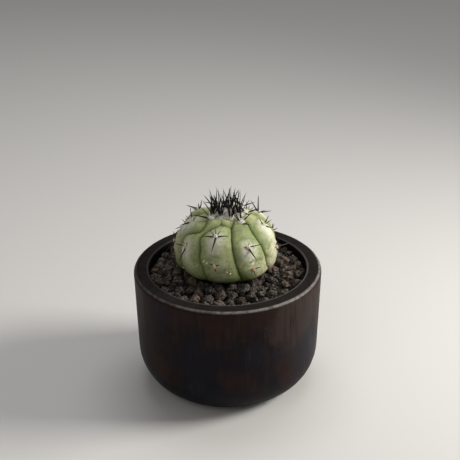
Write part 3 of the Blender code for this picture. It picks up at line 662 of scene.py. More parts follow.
def rim_colours(f):
    """Haze on the rim's flat top and inside, and pale edges, part wear and part painted highlight. Returns
    the places of flat and edges.
    """
    x, y, z = f.axes()
    reach = f.work("SQRT", f.moved(f.times(x, x), f.times(y, y)))
    inside = f.span(reach, MOUTH_RADIUS + 0.2 * MM, MOUTH_RADIUS + 0.9 * MM, 1.0, 0.0)
    flat = f.span(z, POT_HEIGHT - 0.9 * MM, POT_HEIGHT - 0.4 * MM, 0.0, 0.9)
    haze = f.ramp(f.noise(3.5 * MM, 5.0, 0.7), (0.35, (0.0045, 0.0038, 0.0036)),
                  (0.7, (0.013, 0.0105, 0.0095)))
    f.coat(f.work("MAXIMUM", flat, inside), haze)
    # The crest of the outer rounding and the mouth's lip are paler: part wear, part painted highlight.
    crest = f.times(f.span(z, POT_HEIGHT - 1.1 * MM, POT_HEIGHT - 0.5 * MM),
                    f.span(reach, RIM_RADIUS - 1.6 * MM, RIM_RADIUS - 1 * MM))
    crest = f.times(crest, f.span(f.noise(2.5 * MM, 4.0, 0.7), 0.35, 0.6, 0.35, 0.9))
    lip = f.times(f.span(reach, MOUTH_RADIUS + 0.5 * MM, MOUTH_RADIUS + 1.2 * MM, 0.45, 0.0),
                  f.span(z, POT_HEIGHT - 0.6 * MM, POT_HEIGHT - 0.2 * MM))
    worn_and_highlit_edge = f.work("MAXIMUM", crest, lip)
    # Painted highlight: the edges grow paler towards the front right, where the key light falls.
    painted_highlight_side = f.span(f.moved(x, y, -1.0), -20 * MM, 60 * MM)
    f.coat(worn_and_highlit_edge, f.mix(painted_highlight_side, (0.07, 0.063, 0.058), (0.2, 0.182, 0.168)))
    return flat, worn_and_highlit_edge


def follow(points, polar):
    """Azimuth at polar angles along a line of (polar, azimuth) points, with its corners rounded."""
    angles, turns = zip(*points)
    return sum(np.interp(polar + d, angles, turns) for d in (-3, -1.5, 0, 1.5, 3)) / 5


def groove_azimuth(rib, polar):
    """Azimuth of the groove on the right of a rib, at polar angles."""
    if rib < 0:
        return groove_azimuth(rib + len(RIBS), polar) - 360.0
    if rib in SHOWN_GROOVES:
        return follow(SHOWN_GROOVES[rib], polar)
    left = follow(RIBS[rib].values(), polar)
    if rib + 1 < len(RIBS):
        right = follow(RIBS[rib + 1].values(), polar)
    else:
        right = follow(RIBS[0].values(), polar) + 360.0
    return (left + right) / 2


def rib_edges(rib, polar):
    """Azimuths of the grooves on the left and on the right of a rib, at polar angles."""
    polar = np.asarray(polar, float)
    return groove_azimuth(rib - 1, polar), groove_azimuth(rib, polar)


def stem_base(polar, azimuth):
    """Points and outward directions on the smooth superellipsoid under the ribs. Angles in degrees."""
    s, c = np.sin(np.radians(polar)), np.cos(np.radians(polar))
    n = STEM_SQUARENESS
    k = (np.abs(s) ** n + np.abs(c) ** n) ** (-1 / n)
    reach = np.where(c > 0, STEM_RISE, STEM_DROP)
    turn = np.radians(azimuth)
    radial = np.stack((np.sin(turn), -np.cos(turn), np.zeros_like(turn)), -1)
    points = radial * (STEM_RADIUS * s * k)[..., None]
    points[..., 0] += PLANT_X
    points[..., 2] = STEM_EQUATOR + reach * c * k
    outward = radial * ((np.abs(s) * k) ** (n - 1) / STEM_RADIUS)[..., None]
    outward[..., 2] = np.copysign((np.abs(c) * k) ** (n - 1) / reach, c)
    return points, unit(outward)


def skin_lift(rib, azimuth, polar):
    """How far the areoles' swellings raise a rib's skin."""
    lift = 0.0
    for areole_polar, areole_azimuth in RIBS[rib].values():
        up = (polar - areole_polar) / TUBERCLE_HEIGHT_DEG
        side = (azimuth - areole_azimuth) * np.sin(np.radians(polar)) / TUBERCLE_WIDTH_DEG
        lift = lift + TUBERCLE_RISE * fading(LIFT_FADE, areole_polar) * np.exp(-up * up - side * side)
    return lift


def distance_to(points, way):
    """Distance from each point to a line through a few points."""
    best = np.full(points.shape[:-1], 1.0)
    for start, end in zip(way, way[1:]):
        along = end - start
        share = np.clip((points - start) @ along / (along @ along), 0.0, 1.0)
        best = np.minimum(best, np.linalg.norm(points - start - share[..., None] * along, axis=-1))
    return best


def way_on_skin(way, steps=14):
    """Points close together on the smooth stem along a line of polar angles and azimuths."""
    polar, azimuth = (np.array(values, float) for values in zip(*way))
    at = np.linspace(0, len(way) - 1, steps * (len(way) - 1) + 1)
    return stem_base(np.interp(at, range(len(way)), polar), np.interp(at, range(len(way)), azimuth))[0]


def groove_way(rib):
    """Points close together along the groove on the right of a rib."""
    polar = np.arange(8.0, STEM_TAIL_FROM_DEG, 0.8)
    return stem_base(polar, groove_azimuth(rib, polar))[0]


def folds():
    """Depth, width and points of every fold in the skin."""
    for depth, width, way in FOLDS:
        yield depth * MM, width * MM, way_on_skin(way)
    middle, ends, free, depth, width = FOLD_ARCH
    for rib in FOLDED_RIBS:
        for polar, azimuth in RIBS[rib].values():
            if polar > YOUNG_BELOW_DEG:
                low, high = polar - ends, polar - middle
                left, right = rib_edges(rib, low)
                first, last = left + (right - left) * free, right - (right - left) * free
                turns = (first, (first + azimuth) / 2, (last + azimuth) / 2, last)
                yield depth, width, way_on_skin(tuple(zip((low, high, high, low), turns)))


def stem_rows():
    """Polar angles of the stem's rows: close together where the stem shows."""
    upper = np.linspace(0, STEM_TAIL_FROM_DEG, STEM_ROWS + 1)[1:]
    return np.concatenate((upper, np.linspace(STEM_TAIL_FROM_DEG, 180, STEM_TAIL_ROWS + 1)[1:-1]))


def areole_places():
    """Name, rib, polar angle and azimuth of every areole, those of the crown last."""
    places = []
    for rib, areoles in enumerate(RIBS):
        for name, (polar, azimuth) in areoles.items():
            places.append((name, rib, polar, azimuth))
    for i in range(1, CROWN_AREOLES + 1):
        polar = CROWN_FIRST_DEG + CROWN_SPREAD_DEG * math.sqrt(i)
        places.append((f"crown{i}", None, polar, (i * GOLDEN_ANGLE) % 360.0))
    return places


def areole_frame(rib, polar, azimuth):
    """Point on the skin with the directions right, up and outward there."""
    polar, azimuth = np.array(float(polar)), np.array(float(azimuth))
    point, outward = stem_base(polar, azimuth)
    if rib is not None:
        away = min(np.linalg.norm(groove_way(side) - point, axis=1).min() for side in (rib - 1, rib))
        fade = smooth_step(RIBS_BEGIN_DEG, RIBS_FULL_DEG, polar)
        point = point + outward * (skin_lift(rib, azimuth, polar) - groove_depth(away, fade, fade))
    side = np.array((math.cos(math.radians(azimuth)), math.sin(math.radians(azimuth)), 0.0))
    return point, side, unit(np.cross(outward, side)), outward


def groove_depth(away, ribs, lines):
    """Depth of the skin at a distance from the nearest groove, for the strength of ribs and thin lines."""
    (broad, reach), (crease, crease_reach), (thin, thin_reach) = GROOVE_SHAPE
    deep = broad * np.exp(-away / reach) + crease * np.exp(-away / crease_reach)
    return deep * ribs + thin * np.exp(-away / thin_reach) * lines


def on_skin(polar, azimuth):
    """The nearest frame on the skin for a mark that names no rib."""
    for rib in range(len(RIBS)):
        left, right = rib_edges(rib, polar)
        for turn in (azimuth, azimuth - 360, azimuth + 360):
            if left <= turn < right:
                return areole_frame(rib, polar, turn)
    return areole_frame(None, polar, azimuth)


def rib_skin():
    """The smooth stem, rib by rib: points, ways outward, distance to a groove, the painted shade of its dark
    line, and lift.
    """
    polar = stem_rows()[:, None]
    even = 2 * np.arange(STEM_COLUMNS_PER_RIB) / STEM_COLUMNS_PER_RIB - 1
    across = np.copysign(1 - (1 - np.abs(even)) ** COLUMN_CROWDING, even)[None, :]
    grooves = [groove_way(rib) for rib in range(len(RIBS))]
    parts = []
    for rib in range(len(RIBS)):
        sides = (rib - 1, rib)
        left, right = rib_edges(rib, polar)
        azimuth = left + (right - left) * (across + 1) / 2
        points, outward = stem_base(np.broadcast_to(polar, azimuth.shape), azimuth)
        away = [distance_to(points, grooves[side]) for side in sides]
        line = [np.exp(-far / GROOVE_SHADE_LINE_REACH) * GROOVE_SHADE_LINES[side] for far, side in zip(away, sides)]
        lift = skin_lift(rib, azimuth, polar)
        parts.append((points, outward, np.minimum(*away), np.maximum(*line), lift))
    return [np.concatenate(values, axis=1) for values in zip(*parts)]


def spot(gone, side, up, shape):
    """1 in the middle of a soft oval, falling to 0. Its shape is width, height and how far up it lies."""
    wide, high, above = shape
    return np.exp(-(gone @ side / wide) ** 2 - ((gone @ up - above) / high) ** 2)


def areole_marks(points):
    """Depth, bloom and scarring that the areoles bring to the skin."""
    depth, bloom, scar = np.zeros((3, *points.shape[:-1]))
    for _, rib, polar, azimuth in areole_places():
        point, side, up, outward = areole_frame(rib, polar, azimuth)
        gone = (points - point) / MM
        here = gone @ outward > AREOLE_BACK
        dip, chin, brow, dust = (spot(gone, side, up, shape) * here for shape in AREOLE_SPOTS)
        depth += DIP_DEPTH * dip
        scar = np.maximum(scar, DIP_SCAR * dip)
        if polar > SWELLINGS_FROM_DEG:
            depth += (BROW_DEPTH * brow - CHIN_RISE * chin) * fading(CHIN_FADE, polar)
            bloom = np.maximum(bloom, dust * fading(BLOOM_FADE, polar))
    return depth, bloom, scar


def scar_marks(points):
    """Slanting pale scars low on the skin."""
    scar = np.zeros(points.shape[:-1])
    across, along = SCAR_NARROWNESS
    for polar, azimuth, size in SCARS:
        point, side, up, _ = on_skin(polar, azimuth)
        gone = (points - point) / MM / size
        slanted = gone @ side - SCAR_SLANT * (gone @ up)
        scar = np.maximum(scar, np.exp(-across * slanted ** 2 - along * (gone @ up) ** 2))
    return scar


def stem():
    """The stem's skin: ribs with sharp grooves, folds, a dip at each areole, and marks for colour, among
    them painted shade in the grooves and valleys.
    """
    points, outward, away, line, lift = rib_skin()
    angles = np.broadcast_to(stem_rows()[:, None], away.shape)
    ribs = smooth_step(RIBS_BEGIN_DEG, RIBS_FULL_DEG, angles) * fading(RIBS_FADE, angles)
    lines = smooth_step(*LINES_BEGIN_DEG, angles) * fading(RIBS_FADE, angles)
    depth = groove_depth(away, ribs, lines) - lift
    groove_shade = line * lines
    valley_shade = np.exp(-away / VALLEY_SHADE_REACH) * ribs
    for fold_depth, width, way in folds():
        near = distance_to(points, way)
        depth = depth + fold_depth * np.exp(-(near / width) ** 2)
        sharp = smooth_step(*FOLD_SHARP_FROM, fold_depth)
        groove_shade = np.maximum(groove_shade, np.exp(-(near / FOLD_SHADE_LINE_REACH) ** 2) * sharp * FOLD_SHADE_LINE_SHARE)
        soft, more = FOLD_SHADE_SHARES
        valley_shade = np.maximum(valley_shade, np.exp(-(near / FOLD_SHADE_REACH) ** 2) * (soft + more * sharp))
    areole_depth, bloom, scar = areole_marks(points)
    scar = np.maximum(scar, scar_marks(points))
    depth = depth + areole_depth - rough(points, *SKIN_WAVES) * smooth_step(*WAVES_BEGIN_DEG, angles)
    points = points - outward * depth[..., None]
    marks = np.stack((np.clip(groove_shade, 0, 1), bloom, valley_shade, scar), -1)
    rows, columns = away.shape
    faces = grid_faces(rows, columns)
    last, peak, tip = (rows - 1) * columns, rows * columns, rows * columns + 1
    for j in range(columns):
        k = (j + 1) % columns
        faces.append((peak, j, k))
        faces.append((tip, last + k, last + j))
    ends = [stem_base(np.array(polar), np.array(0.0))[0] for polar in (0.0, 180.0)]
    heap = Heap()
    heap.add(np.concatenate((points.reshape(-1, 3), ends)), faces,
             np.concatenate((marks.reshape(-1, 4), [NO_MARKS] * len(ends))))
    heap.piece("ribbed_stem", stem_finish(), "cactus_skin", "cactus")


def stem_finish():
    """Waxy skin: sage green with blue-grey bloom below the areoles, painted shade in the valleys, the
    grooves and at the foot, and a painted highlight on the rib tops.
    """
    f = Finish("copiapoa_skin", Specular_IOR_Level=0.3, Subsurface_Weight=0.08, Subsurface_Scale=0.8 * MM,
               Subsurface_Radius=(0.7, 1.0, 0.35))
    groove_shade, bloom, valley_shade, scar = f.marks()
    z = f.axes()["Z"]
    broad = f.noise(6 * MM, 4.0, 0.62)
    small = f.noise(1.2 * MM, 5.0, 0.7)
    f.colour = f.ramp(broad, (0.34, (0.195, 0.232, 0.073)), (0.5, (0.3, 0.328, 0.13)),
                      (0.66, (0.425, 0.428, 0.215)))
    blotches = f.span(f.noise(1.8 * MM, 5.0, 0.72), 0.34, 0.48, 0.8, 0.0)
    f.coat(blotches, (0.13, 0.18, 0.052))
    crown = f.span(z, 76 * MM, 84 * MM, 0.0, 0.5)
    f.coat(crown, (0.36, 0.4, 0.15))
    mottle = f.span(small, 0.41, 0.62, 0.0, 0.58)
    f.coat(mottle, (0.49, 0.51, 0.305))
    # Painted highlight: paler skin on the rib tops, away from the valleys.
    ridge_highlight = f.times(f.span(valley_shade, 0.02, 0.35, 0.55, 0.0), f.span(small, 0.3, 0.6, 0.35, 1.0))
    f.coat(ridge_highlight, (0.57, 0.57, 0.405))
    # Painted shade: darker green in the valleys beside the grooves and folds.
    f.coat(f.times(valley_shade, 0.85), (0.112, 0.148, 0.034))
    dusted = f.times(bloom, f.span(f.noise(2.8 * MM, 5.0, 0.68), 0.34, 0.54, 0.2, 1.0))
    f.coat(dusted, (0.68, 0.69, 0.57))
    # Painted shade: the skin darkens towards the foot, where the stem turns down.
    foot_shade = f.span(f.moved(z, small, 3 * MM), 60.5 * MM, 71 * MM, 0.94, 0.0)
    f.coat(foot_shade, (0.076, 0.114, 0.019))
    f.patches(SKIN_PATCHES, f.span(small, 0.35, 0.6, 0.35, 1.0))
    # Painted shade: a thin dark line along the grooves and folds, broken up by noise.
    lines = f.times(groove_shade, f.span(f.noise(4 * MM, 2.0), 0.36, 0.55, 0.45, 0.95))
    f.coat(lines, (0.04, 0.066, 0.012))
    scars = f.times(f.span(scar, 0.2, 0.7), f.span(small, 0.4, 0.56, 0.15, 0.95))
    f.coat(scars, (0.76, 0.73, 0.6))
    dots = f.span(f.cells(0.62 * MM), 0.04, 0.24, 0.45, 0.0)
    f.coat(dots, (0.6, 0.63, 0.47))
    relief = f.blend(small, f.noise(0.35 * MM, 2.0), 0.4)
    return f.done(f.span(broad, 0.3, 0.7, 0.46, 0.64), f.bump(relief, 0.2 * MM, 0.8))


def ball(level):
    """Points and faces of a round ball."""
    form = bmesh.new()
    bmesh.ops.create_icosphere(form, subdivisions=level, radius=1.0)
    points = np.array([v.co for v in form.verts])
    faces = [[v.index for v in face.verts] for face in form.faces]
    form.free()
    return points, faces


BALL = ball(3)


def thread(heap, way, radii, sides, marks):
    """A tube along a few points that ends in a tip, with a closed root."""
    rings = []
    for i in range(len(way) - 1):
        ahead = unit(way[i + 1] - way[max(i - 1, 0)])
        first = unit(np.cross(ahead, THREAD_SIDEWAYS))
        second = np.cross(ahead, first)
        for j in range(sides):
            a = math.tau * j / sides
            rings.append(way[i] + (first * math.cos(a) + second * math.sin(a)) * radii[i])
    faces = grid_faces(len(way) - 1, sides)
    last = (len(way) - 2) * sides
    faces += [(last + j, len(rings), last + (j + 1) % sides) for j in range(sides)]
    faces.append(tuple(reversed(range(sides))))
    heap.add(np.array([*rings, way[-1]]), flipped(faces), marks)


def tuft(heap, place, half_size, hairs, hair_mm, draw, age):
    """An areole's wool: a ragged cushion half sunk in the skin, with short curled hairs."""
    point, side, up, outward = place
    turn = np.stack((side, up, outward))
    seat = point - outward * WOOL_SINK
    points, faces = BALL
    lumps = 1 + rough(points * half_size[0] + point, WOOL_LUMPS)
    heap.add((points * lumps[:, None] * half_size) @ turn + seat, faces, (age, 0, draw.random(), 0))
    for _ in range(hairs):
        a, r = draw.uniform(0, math.tau), math.sqrt(draw.uniform(0, 1)) * HAIR_SPREAD
        flat = np.array((math.cos(a) * r, math.sin(a) * r, math.sqrt(1 - r * r)))
        root = (flat * half_size * HAIR_ROOT) @ turn + seat
        lean = flat * (1, 1, 0.9) + [draw.uniform(-HAIR_LEAN, HAIR_LEAN) for _ in range(3)]
        ahead = unit(lean @ turn)
        curl = unit(np.cross(ahead, [draw.uniform(-1, 1) for _ in range(3)]))
        length = draw.uniform(*hair_mm) * MM
        bend = root + ahead * length * HAIR_BEND_AT
        way = np.array([root, bend, root + (ahead + curl * HAIR_CURL) * length])
        thread(heap, way, HAIR_RADII, HAIR_SIDES, (age, 1, draw.random(), 0))


def spine(heap, place, values, draw, age):
    """A tapered spine, bowed a little, with its root in the skin and its tip where the CAD has it."""
    point, side, up, outward = place
    clock, lift, length, radius = values
    along = up * math.cos(math.radians(clock)) + side * math.sin(math.radians(clock))
    direction = along * math.cos(math.radians(lift)) + outward * math.sin(math.radians(lift))
    tip = point + direction * (length * MM)
    root = point - outward * SPINE_ROOT
    sideways = np.cross(direction, outward)
    bow = unit(np.cross(sideways, direction)) * draw.uniform(0.0, SPINE_BOW)
    sway = unit(sideways) * draw.uniform(-SPINE_SWAY, SPINE_SWAY)
    steps = np.linspace(0, 1, SPINE_STEPS + 1)
    way = root + (tip - root) * steps[:, None]
    way = way + (bow + sway) * (length * MM) * (4 * steps * (1 - steps))[:, None]
    taper, roundness = SPINE_TAPER
    radii = radius * MM * (1 - taper * steps ** roundness)
    tint = draw.random()
    marks = [(age, t, tint, 0) for t in steps[:-1] for _ in range(SPINE_SIDES)] + [(age, 1.0, tint, 0)]
    thread(heap, way, radii, SPINE_SIDES, np.array(marks))


def spine_values(name, rib, polar, draw):
    """Clock, lift, length and radius of an areole's spines, as the CAD draws them."""
    if name in SHOWN_SPINES:
        return SHOWN_SPINES[name]
    values = []
    if rib is None:
        start = draw.uniform(0, 360)
        for i in range(CROWN_SPINES):
            lift = draw.uniform(*CROWN_LIFT_DEG)
            length = draw.uniform(*CROWN_LENGTH_MM)
            values.append((start + 360 * i / CROWN_SPINES, lift, length, draw.choice((THICK, MIDDLE, THIN))))
        return values
    for clock, lift, length, radius in YOUNG_PATTERN if polar < YOUNG_BELOW_DEG else OLD_PATTERN:
        values.append((clock + draw.uniform(-10, 10), lift + draw.uniform(-3, 6),
                       length * draw.uniform(0.8, 1.15), radius))
    return values


def areoles():
    """The wool and the spines of every areole, and more of both on the crown."""
    wool, spines = Heap(), Heap()
    draw = random.Random(SPINE_SEED)
    fine = random.Random(SPINE_SEED + 1)
    lifts, lengths, thin = CROWN_EXTRA_SPINE
    for name, rib, polar, azimuth in areole_places():
        place = areole_frame(rib, polar, azimuth)
        age = float(smooth_step(*AGEING_DEG, polar))
        young = polar < YOUNG_BELOW_DEG
        size = np.array(YOUNG_WOOL if young else OLD_WOOL)
        hairs = CROWN_HAIRS if rib is None else YOUNG_HAIRS if young else OLD_HAIRS
        tuft(wool, place, size, *hairs, fine, age)
        for clock, lift, length, radius in spine_values(name, rib, polar, draw):
            thinner = CROWN_SPINE_THINNER if rib is None else 1.0
            spine(spines, place, (clock, lift, length, radius * thinner), fine, age)
        if rib is None:
            for _ in range(CROWN_EXTRA_SPINES):
                values = (fine.uniform(0, 360), fine.uniform(*lifts), fine.uniform(*lengths), thin)
                spine(spines, place, values, fine, age)
    thrown = [(fine.uniform(*CROWN_THROW_DEG), fine.uniform(0, 360)) for _ in range(CROWN_EXTRA_TUFTS)]
    for polar, azimuth in (*CROWN_TUFTS, *thrown):
        place = areole_frame(None, polar, azimuth)
        size = np.array(OLD_WOOL) * fine.uniform(*CROWN_TUFT_SCALE)
        tuft(wool, place, size, *CROWN_TUFT_HAIRS, fine, 0.0)
    wool.piece("areole_wool", wool_finish(), None, "cactus")
    spines.piece("black_spines", spine_finish(), None, "cactus")


def wool_finish():
    """Wool: cream on young areoles, tan and dirty on old ones."""
    f = Finish("areole_wool", Roughness=0.95, Sheen_Weight=0.5)
    age, _, tint, _ = f.marks()
    f.colour = f.mix(f.work("POWER", age, 1.5), (0.95, 0.93, 0.87), (0.62, 0.44, 0.25))
    f.coat(f.times(tint, 0.15), (0.62, 0.52, 0.38))
    dirt = f.times(f.span(f.noise(0.4 * MM, 3.0), 0.35, 0.6, 0.35, 0.0), age)
    f.coat(dirt, (0.34, 0.22, 0.12))
    return f.done(None, f.bump(f.noise(0.25 * MM, 2.0), 0.1 * MM, 0.7))


def spine_finish():
    """Spines: black, brown at the root and greyed in places on old areoles, with faint rings."""
    f = Finish("spine_black", Roughness=0.5, Specular_IOR_Level=0.2)
    age, along, tint, _ = f.marks()
    brown = f.times(f.times(age, f.span(along, 0.0, 0.5, 0.9, 0.1)), 0.9)
    f.colour = f.mix(brown, (0.0045, 0.004, 0.004), (0.075, 0.034, 0.015))
    grey = f.times(f.span(f.noise(0.6 * MM, 3.0), 0.45, 0.7, 0.0, 0.5), f.times(tint, age))
    f.coat(grey, (0.07, 0.06, 0.05))
    rings = f.noise(0.3 * MM, 2.0)
    return f.done(f.span(rings, 0.3, 0.7, 0.42, 0.6), f.bump(rings, 0.03 * MM, 0.5))


def specks():
    """Crumbs of dust and grit that cling to the skin, low down."""
    draw = random.Random(SPECK_SEED)
    heap = Heap()
    points, faces = ball(2)
    for polar, azimuth, size in SPECKS:
        point, side, up, outward = on_skin(polar, azimuth)
        knobs = [[draw.uniform(*SPECK_KNOBS)] for _ in points]
        form = points * knobs * (size * MM) * SPECK_SHAPE @ np.stack((side, up, outward))
        heap.add(form + point + outward * SPECK_PROUD, faces, (draw.random(), 0, 0, 0))
    f = Finish("skin_specks", Roughness=0.7)
    f.colour = f.mix(f.noise(0.4 * MM, 2.0), (0.8, 0.72, 0.42), (0.55, 0.47, 0.28))
    heap.piece("skin_specks", f.done(None, f.bump(f.noise(0.2 * MM), 0.05 * MM)), None, "cactus")


def root_radius(height):
    """The taproot's radius, which narrows evenly from the stem to its end."""
    share = (height - ROOT_END) / (ROOT_TOP - ROOT_END)
    return ROOT_END_RADIUS + (ROOT_TOP_RADIUS - ROOT_END_RADIUS) * share


def taproot():
    """The neck and taproot under the stem, wrinkled round and grooved down their length."""
    heights = np.linspace(ROOT_TOP, ROOT_END, ROOT_ROWS)
    places, outward = turned(np.stack((root_radius(heights), heights), -1), ROOT_SIDES)
    push = rough(places * ROOT_WRINKLE_STRETCH, ROOT_WRINKLES) + rough(places, ROOT_LUMPS) - ROOT_SHRINK
    places += outward * push[..., None]
    places[..., 0] += PLANT_X
    faces = grid_faces(ROOT_ROWS, ROOT_SIDES)
    faces.append(range(ROOT_SIDES))
    faces.append(reversed(range((ROOT_ROWS - 1) * ROOT_SIDES, ROOT_ROWS * ROOT_SIDES)))
    heap = Heap()
    heap.add(places.reshape(-1, 3), faces, NO_MARKS)
    f = Finish("root_bark", Roughness=0.9)
    f.colour = f.ramp(f.noise(2 * MM, 4.0, 0.6, f.stretched(1, 1, 2)), (0.3, (0.1, 0.06, 0.035)),
                      (0.7, (0.24, 0.16, 0.1)))
    relief = f.noise(0.8 * MM, 4.0, 0.6, f.stretched(1, 1, 3))
    heap.piece("neck_and_taproot", f.done(None, f.bump(relief, 0.2 * MM)), "cactus_skin", "cactus")


def stem_radius_at(height):
    """The smooth stem's radius at a height, 0 above or below it."""
    rise = height - STEM_EQUATOR
    share = abs(rise) / (STEM_RISE if rise > 0 else STEM_DROP)
    if share >= 1:
        return 0.0
    return STEM_RADIUS * (1 - share ** STEM_SQUARENESS) ** (1 / STEM_SQUARENESS)


def grain_slack(form, x, y, z):
    """How far a grain at a place still is from the stem or the neck, least of all its corners."""
    slack = []
    for vert in form.verts:
        height = vert.co.z + z
        plant = max(stem_radius_at(height) + TUBERCLE_RISE / 2, root_radius(height)) + GAP
        slack.append(math.hypot(vert.co.x + x - PLANT_X, vert.co.y + y) - plant)
    return min(slack)


def seat_grain(form, x, y, z):
    """Push a grain that is nearly there up to the wall or the plant. None if it doesn't fit."""
    reach = math.hypot(x, y)
    to_wall = GRAIN_OUTER_REACH - max(math.hypot(vert.co.x + x, vert.co.y + y) for vert in form.verts)
    if to_wall < GRAIN_SEATING:
        x, y = x * (reach + to_wall) / reach, y * (reach + to_wall) / reach
    slack = grain_slack(form, x, y, z)
    if slack < -GRAIN_SEATING:
        return None
    if slack < GRAIN_SEATING:
        x, y = x * (reach - slack) / reach, y * (reach - slack) / reach
    if grain_slack(form, x, y, z) < 0:
        return None
    return x, y


def grain_level(reach):
    """Grains lie higher near the plant than near the wall."""
    share = smooth_step(BED_INNER_RADIUS, GRAIN_OUTER_REACH, reach)
    return GRAIN_CENTRE_AT_PLANT + (GRAIN_CENTRE_AT_WALL - GRAIN_CENTRE_AT_PLANT) * share


def bed_top(reach):
    """Height of the bed's surface, which falls evenly from the plant to the wall."""
    inner = GRAIN_CENTRE_AT_PLANT - BED_BELOW_GRAINS_AT_PLANT
    outer = GRAIN_CENTRE_AT_WALL - BED_BELOW_GRAINS_AT_WALL
    share = np.clip((reach - BED_INNER_RADIUS) / (BED_RADIUS - BED_INNER_RADIUS), 0.0, 1.0)
    return inner + (outer - inner) * share


def grain_throws(draw):
    """Places to try, as x, y and half size: the named grains first, then throws, the largest first."""
    for x, y, size in NAMED_GRAINS:
        yield x * MM, y * MM, size * MM
    for i in range(GRAIN_TRIES):
        size = GRAIN_HALF_SIZES[i * len(GRAIN_HALF_SIZES) // GRAIN_TRIES] * draw.uniform(*GRAIN_SIZE_SPREAD)
        reach = (GRAIN_OUTER_REACH - GRAIN_CORNERS[0] * size) * math.sqrt(draw.uniform(*GRAIN_THROW_AREA))
        turn = draw.uniform(0.0, math.tau)
        yield reach * math.cos(turn), reach * math.sin(turn), size


def grain_form(size, draw):
    """An angular grain: a coarse ball with uneven corners and sides of three lengths."""
    form = bmesh.new()
    bmesh.ops.create_icosphere(form, subdivisions=1, radius=1.0)
    for vert in form.verts:
        vert.co *= draw.uniform(*GRAIN_CORNERS)
    stretch = Matrix.Diagonal((1.0, draw.uniform(*GRAIN_WIDTH), draw.uniform(*GRAIN_HEIGHT), 1.0))
    tilt = (draw.uniform(-GRAIN_TILT, GRAIN_TILT), draw.uniform(-GRAIN_TILT, GRAIN_TILT))
    turn = Euler((*tilt, draw.uniform(0, math.tau)))
    scale = Matrix.Diagonal((size, size, size, 1.0))
    bmesh.ops.transform(form, matrix=turn.to_matrix().to_4x4() @ stretch @ scale, verts=form.verts)
    return form


def grains(draw):
    """Form, place and half size of each grain, where the CAD has it."""
    taken = []
    for x, y, size in grain_throws(draw):
        if any(math.hypot(x - a, y - b) < GRAIN_CLOSENESS * (size + c) for a, b, c in taken):
            continue
        form = grain_form(size, draw)
        lowest = min(vert.co.z for vert in form.verts)
        sunk = bed_top(math.hypot(x, y)) - GRAIN_LEAST_SINK - lowest
        z = min(grain_level(math.hypot(x, y)) - GRAIN_SUNK_SHARE * size, sunk)
        seat = seat_grain(form, x, y, z)
        if seat is None:
            form.free()
            continue
        taken.append((*seat, size))
        yield form, (*seat, z), size


def roughened(form, place, size, cuts, draw):
    """A broken, porous grain: flat chipped sides, knobs with creases between, and pores."""
    bmesh.ops.triangulate(form, faces=form.faces)
    bmesh.ops.subdivide_edges(form, edges=form.edges, cuts=cuts, use_grid_fill=True)
    bmesh.ops.smooth_vert(form, verts=form.verts, factor=0.5, use_axis_x=True, use_axis_y=True,
                          use_axis_z=True)
    form.verts.index_update()
    points = np.array([v.co for v in form.verts]) * GRAIN_SWELL
    faces = [[v.index for v in face.verts] for face in form.faces]
    form.free()
    for _ in range(GRAIN_CHIPPED_SIDES):
        away = unit(np.array([draw.gauss(0, 1) for _ in range(3)]))
        reach = points @ away
        points = points - away * np.maximum(reach - reach.max() * draw.uniform(*GRAIN_CHIP_AT), 0)[:, None]
    out = unit(points)
    shift = draw.uniform(0, 50)
    knobs = [(height * size, width * size) for height, width in GRAIN_KNOBS]
    relief = rough(points, *knobs, GRAIN_TOOTH, shift=shift)
    for cell, depth, low, high in GRAIN_HOLLOWS:
        far = np.array([noise.voronoi(Vector(p / cell + shift))[0][:2] for p in points])
        value = far[:, 0] if low < high else far[:, 1] - far[:, 0]
        relief -= smooth_step(max(low, high), min(low, high), value) * depth
    points = points + out * relief[:, None] + place
    reach = np.hypot(points[:, 0], points[:, 1])
    points[:, :2] *= (np.minimum(reach, GRAIN_WALL) / reach)[:, None]
    return points, faces


def gravel():
    """The grit: the CAD's grains made rough and porous, small chips between them, and the bed below."""
    draw = random.Random(GRAIN_SEED)
    fine = random.Random(GRAIN_SEED + 1)
    finish = grit_finish()
    heap = Heap()
    for number, (form, place, size) in enumerate(grains(draw)):
        tint = NAMED_TINTS.get(number, (fine.random(), max(0.0, fine.uniform(-1.2, 1.0)), 0, 0))
        heap.add(*roughened(form, place, size, GRAIN_CUTS, fine), tint)
    heap.piece("lava_grains", finish, "lava_grit", "gravel")
    heap = Heap()
    nearest, furthest = CHIP_REACH
    for _ in range(CHIPS):
        size = fine.uniform(*CHIP_HALF_SIZE_MM) * MM
        reach = math.sqrt(fine.uniform(nearest ** 2, (furthest - size) ** 2))
        turn = fine.uniform(0, math.tau)
        height = float(bed_top(reach)) + fine.uniform(0.0, CHIP_RISE_MM) * MM
        place = (reach * math.cos(turn), reach * math.sin(turn), height)
        form = grain_form(size, fine)
        if grain_slack(form, *place) < 0:
            form.free()
            continue
        # A chip's third mark is half of the gaps' painted shade.
        tint = (fine.random() * 0.5, max(0.0, fine.uniform(-1, 0.8)), 0.5, 0)
        heap.add(*roughened(form, place, size, CHIP_CUTS, fine), tint)
    heap.piece("lava_chips", finish, "lava_grit", "gravel")
    bed(finish)


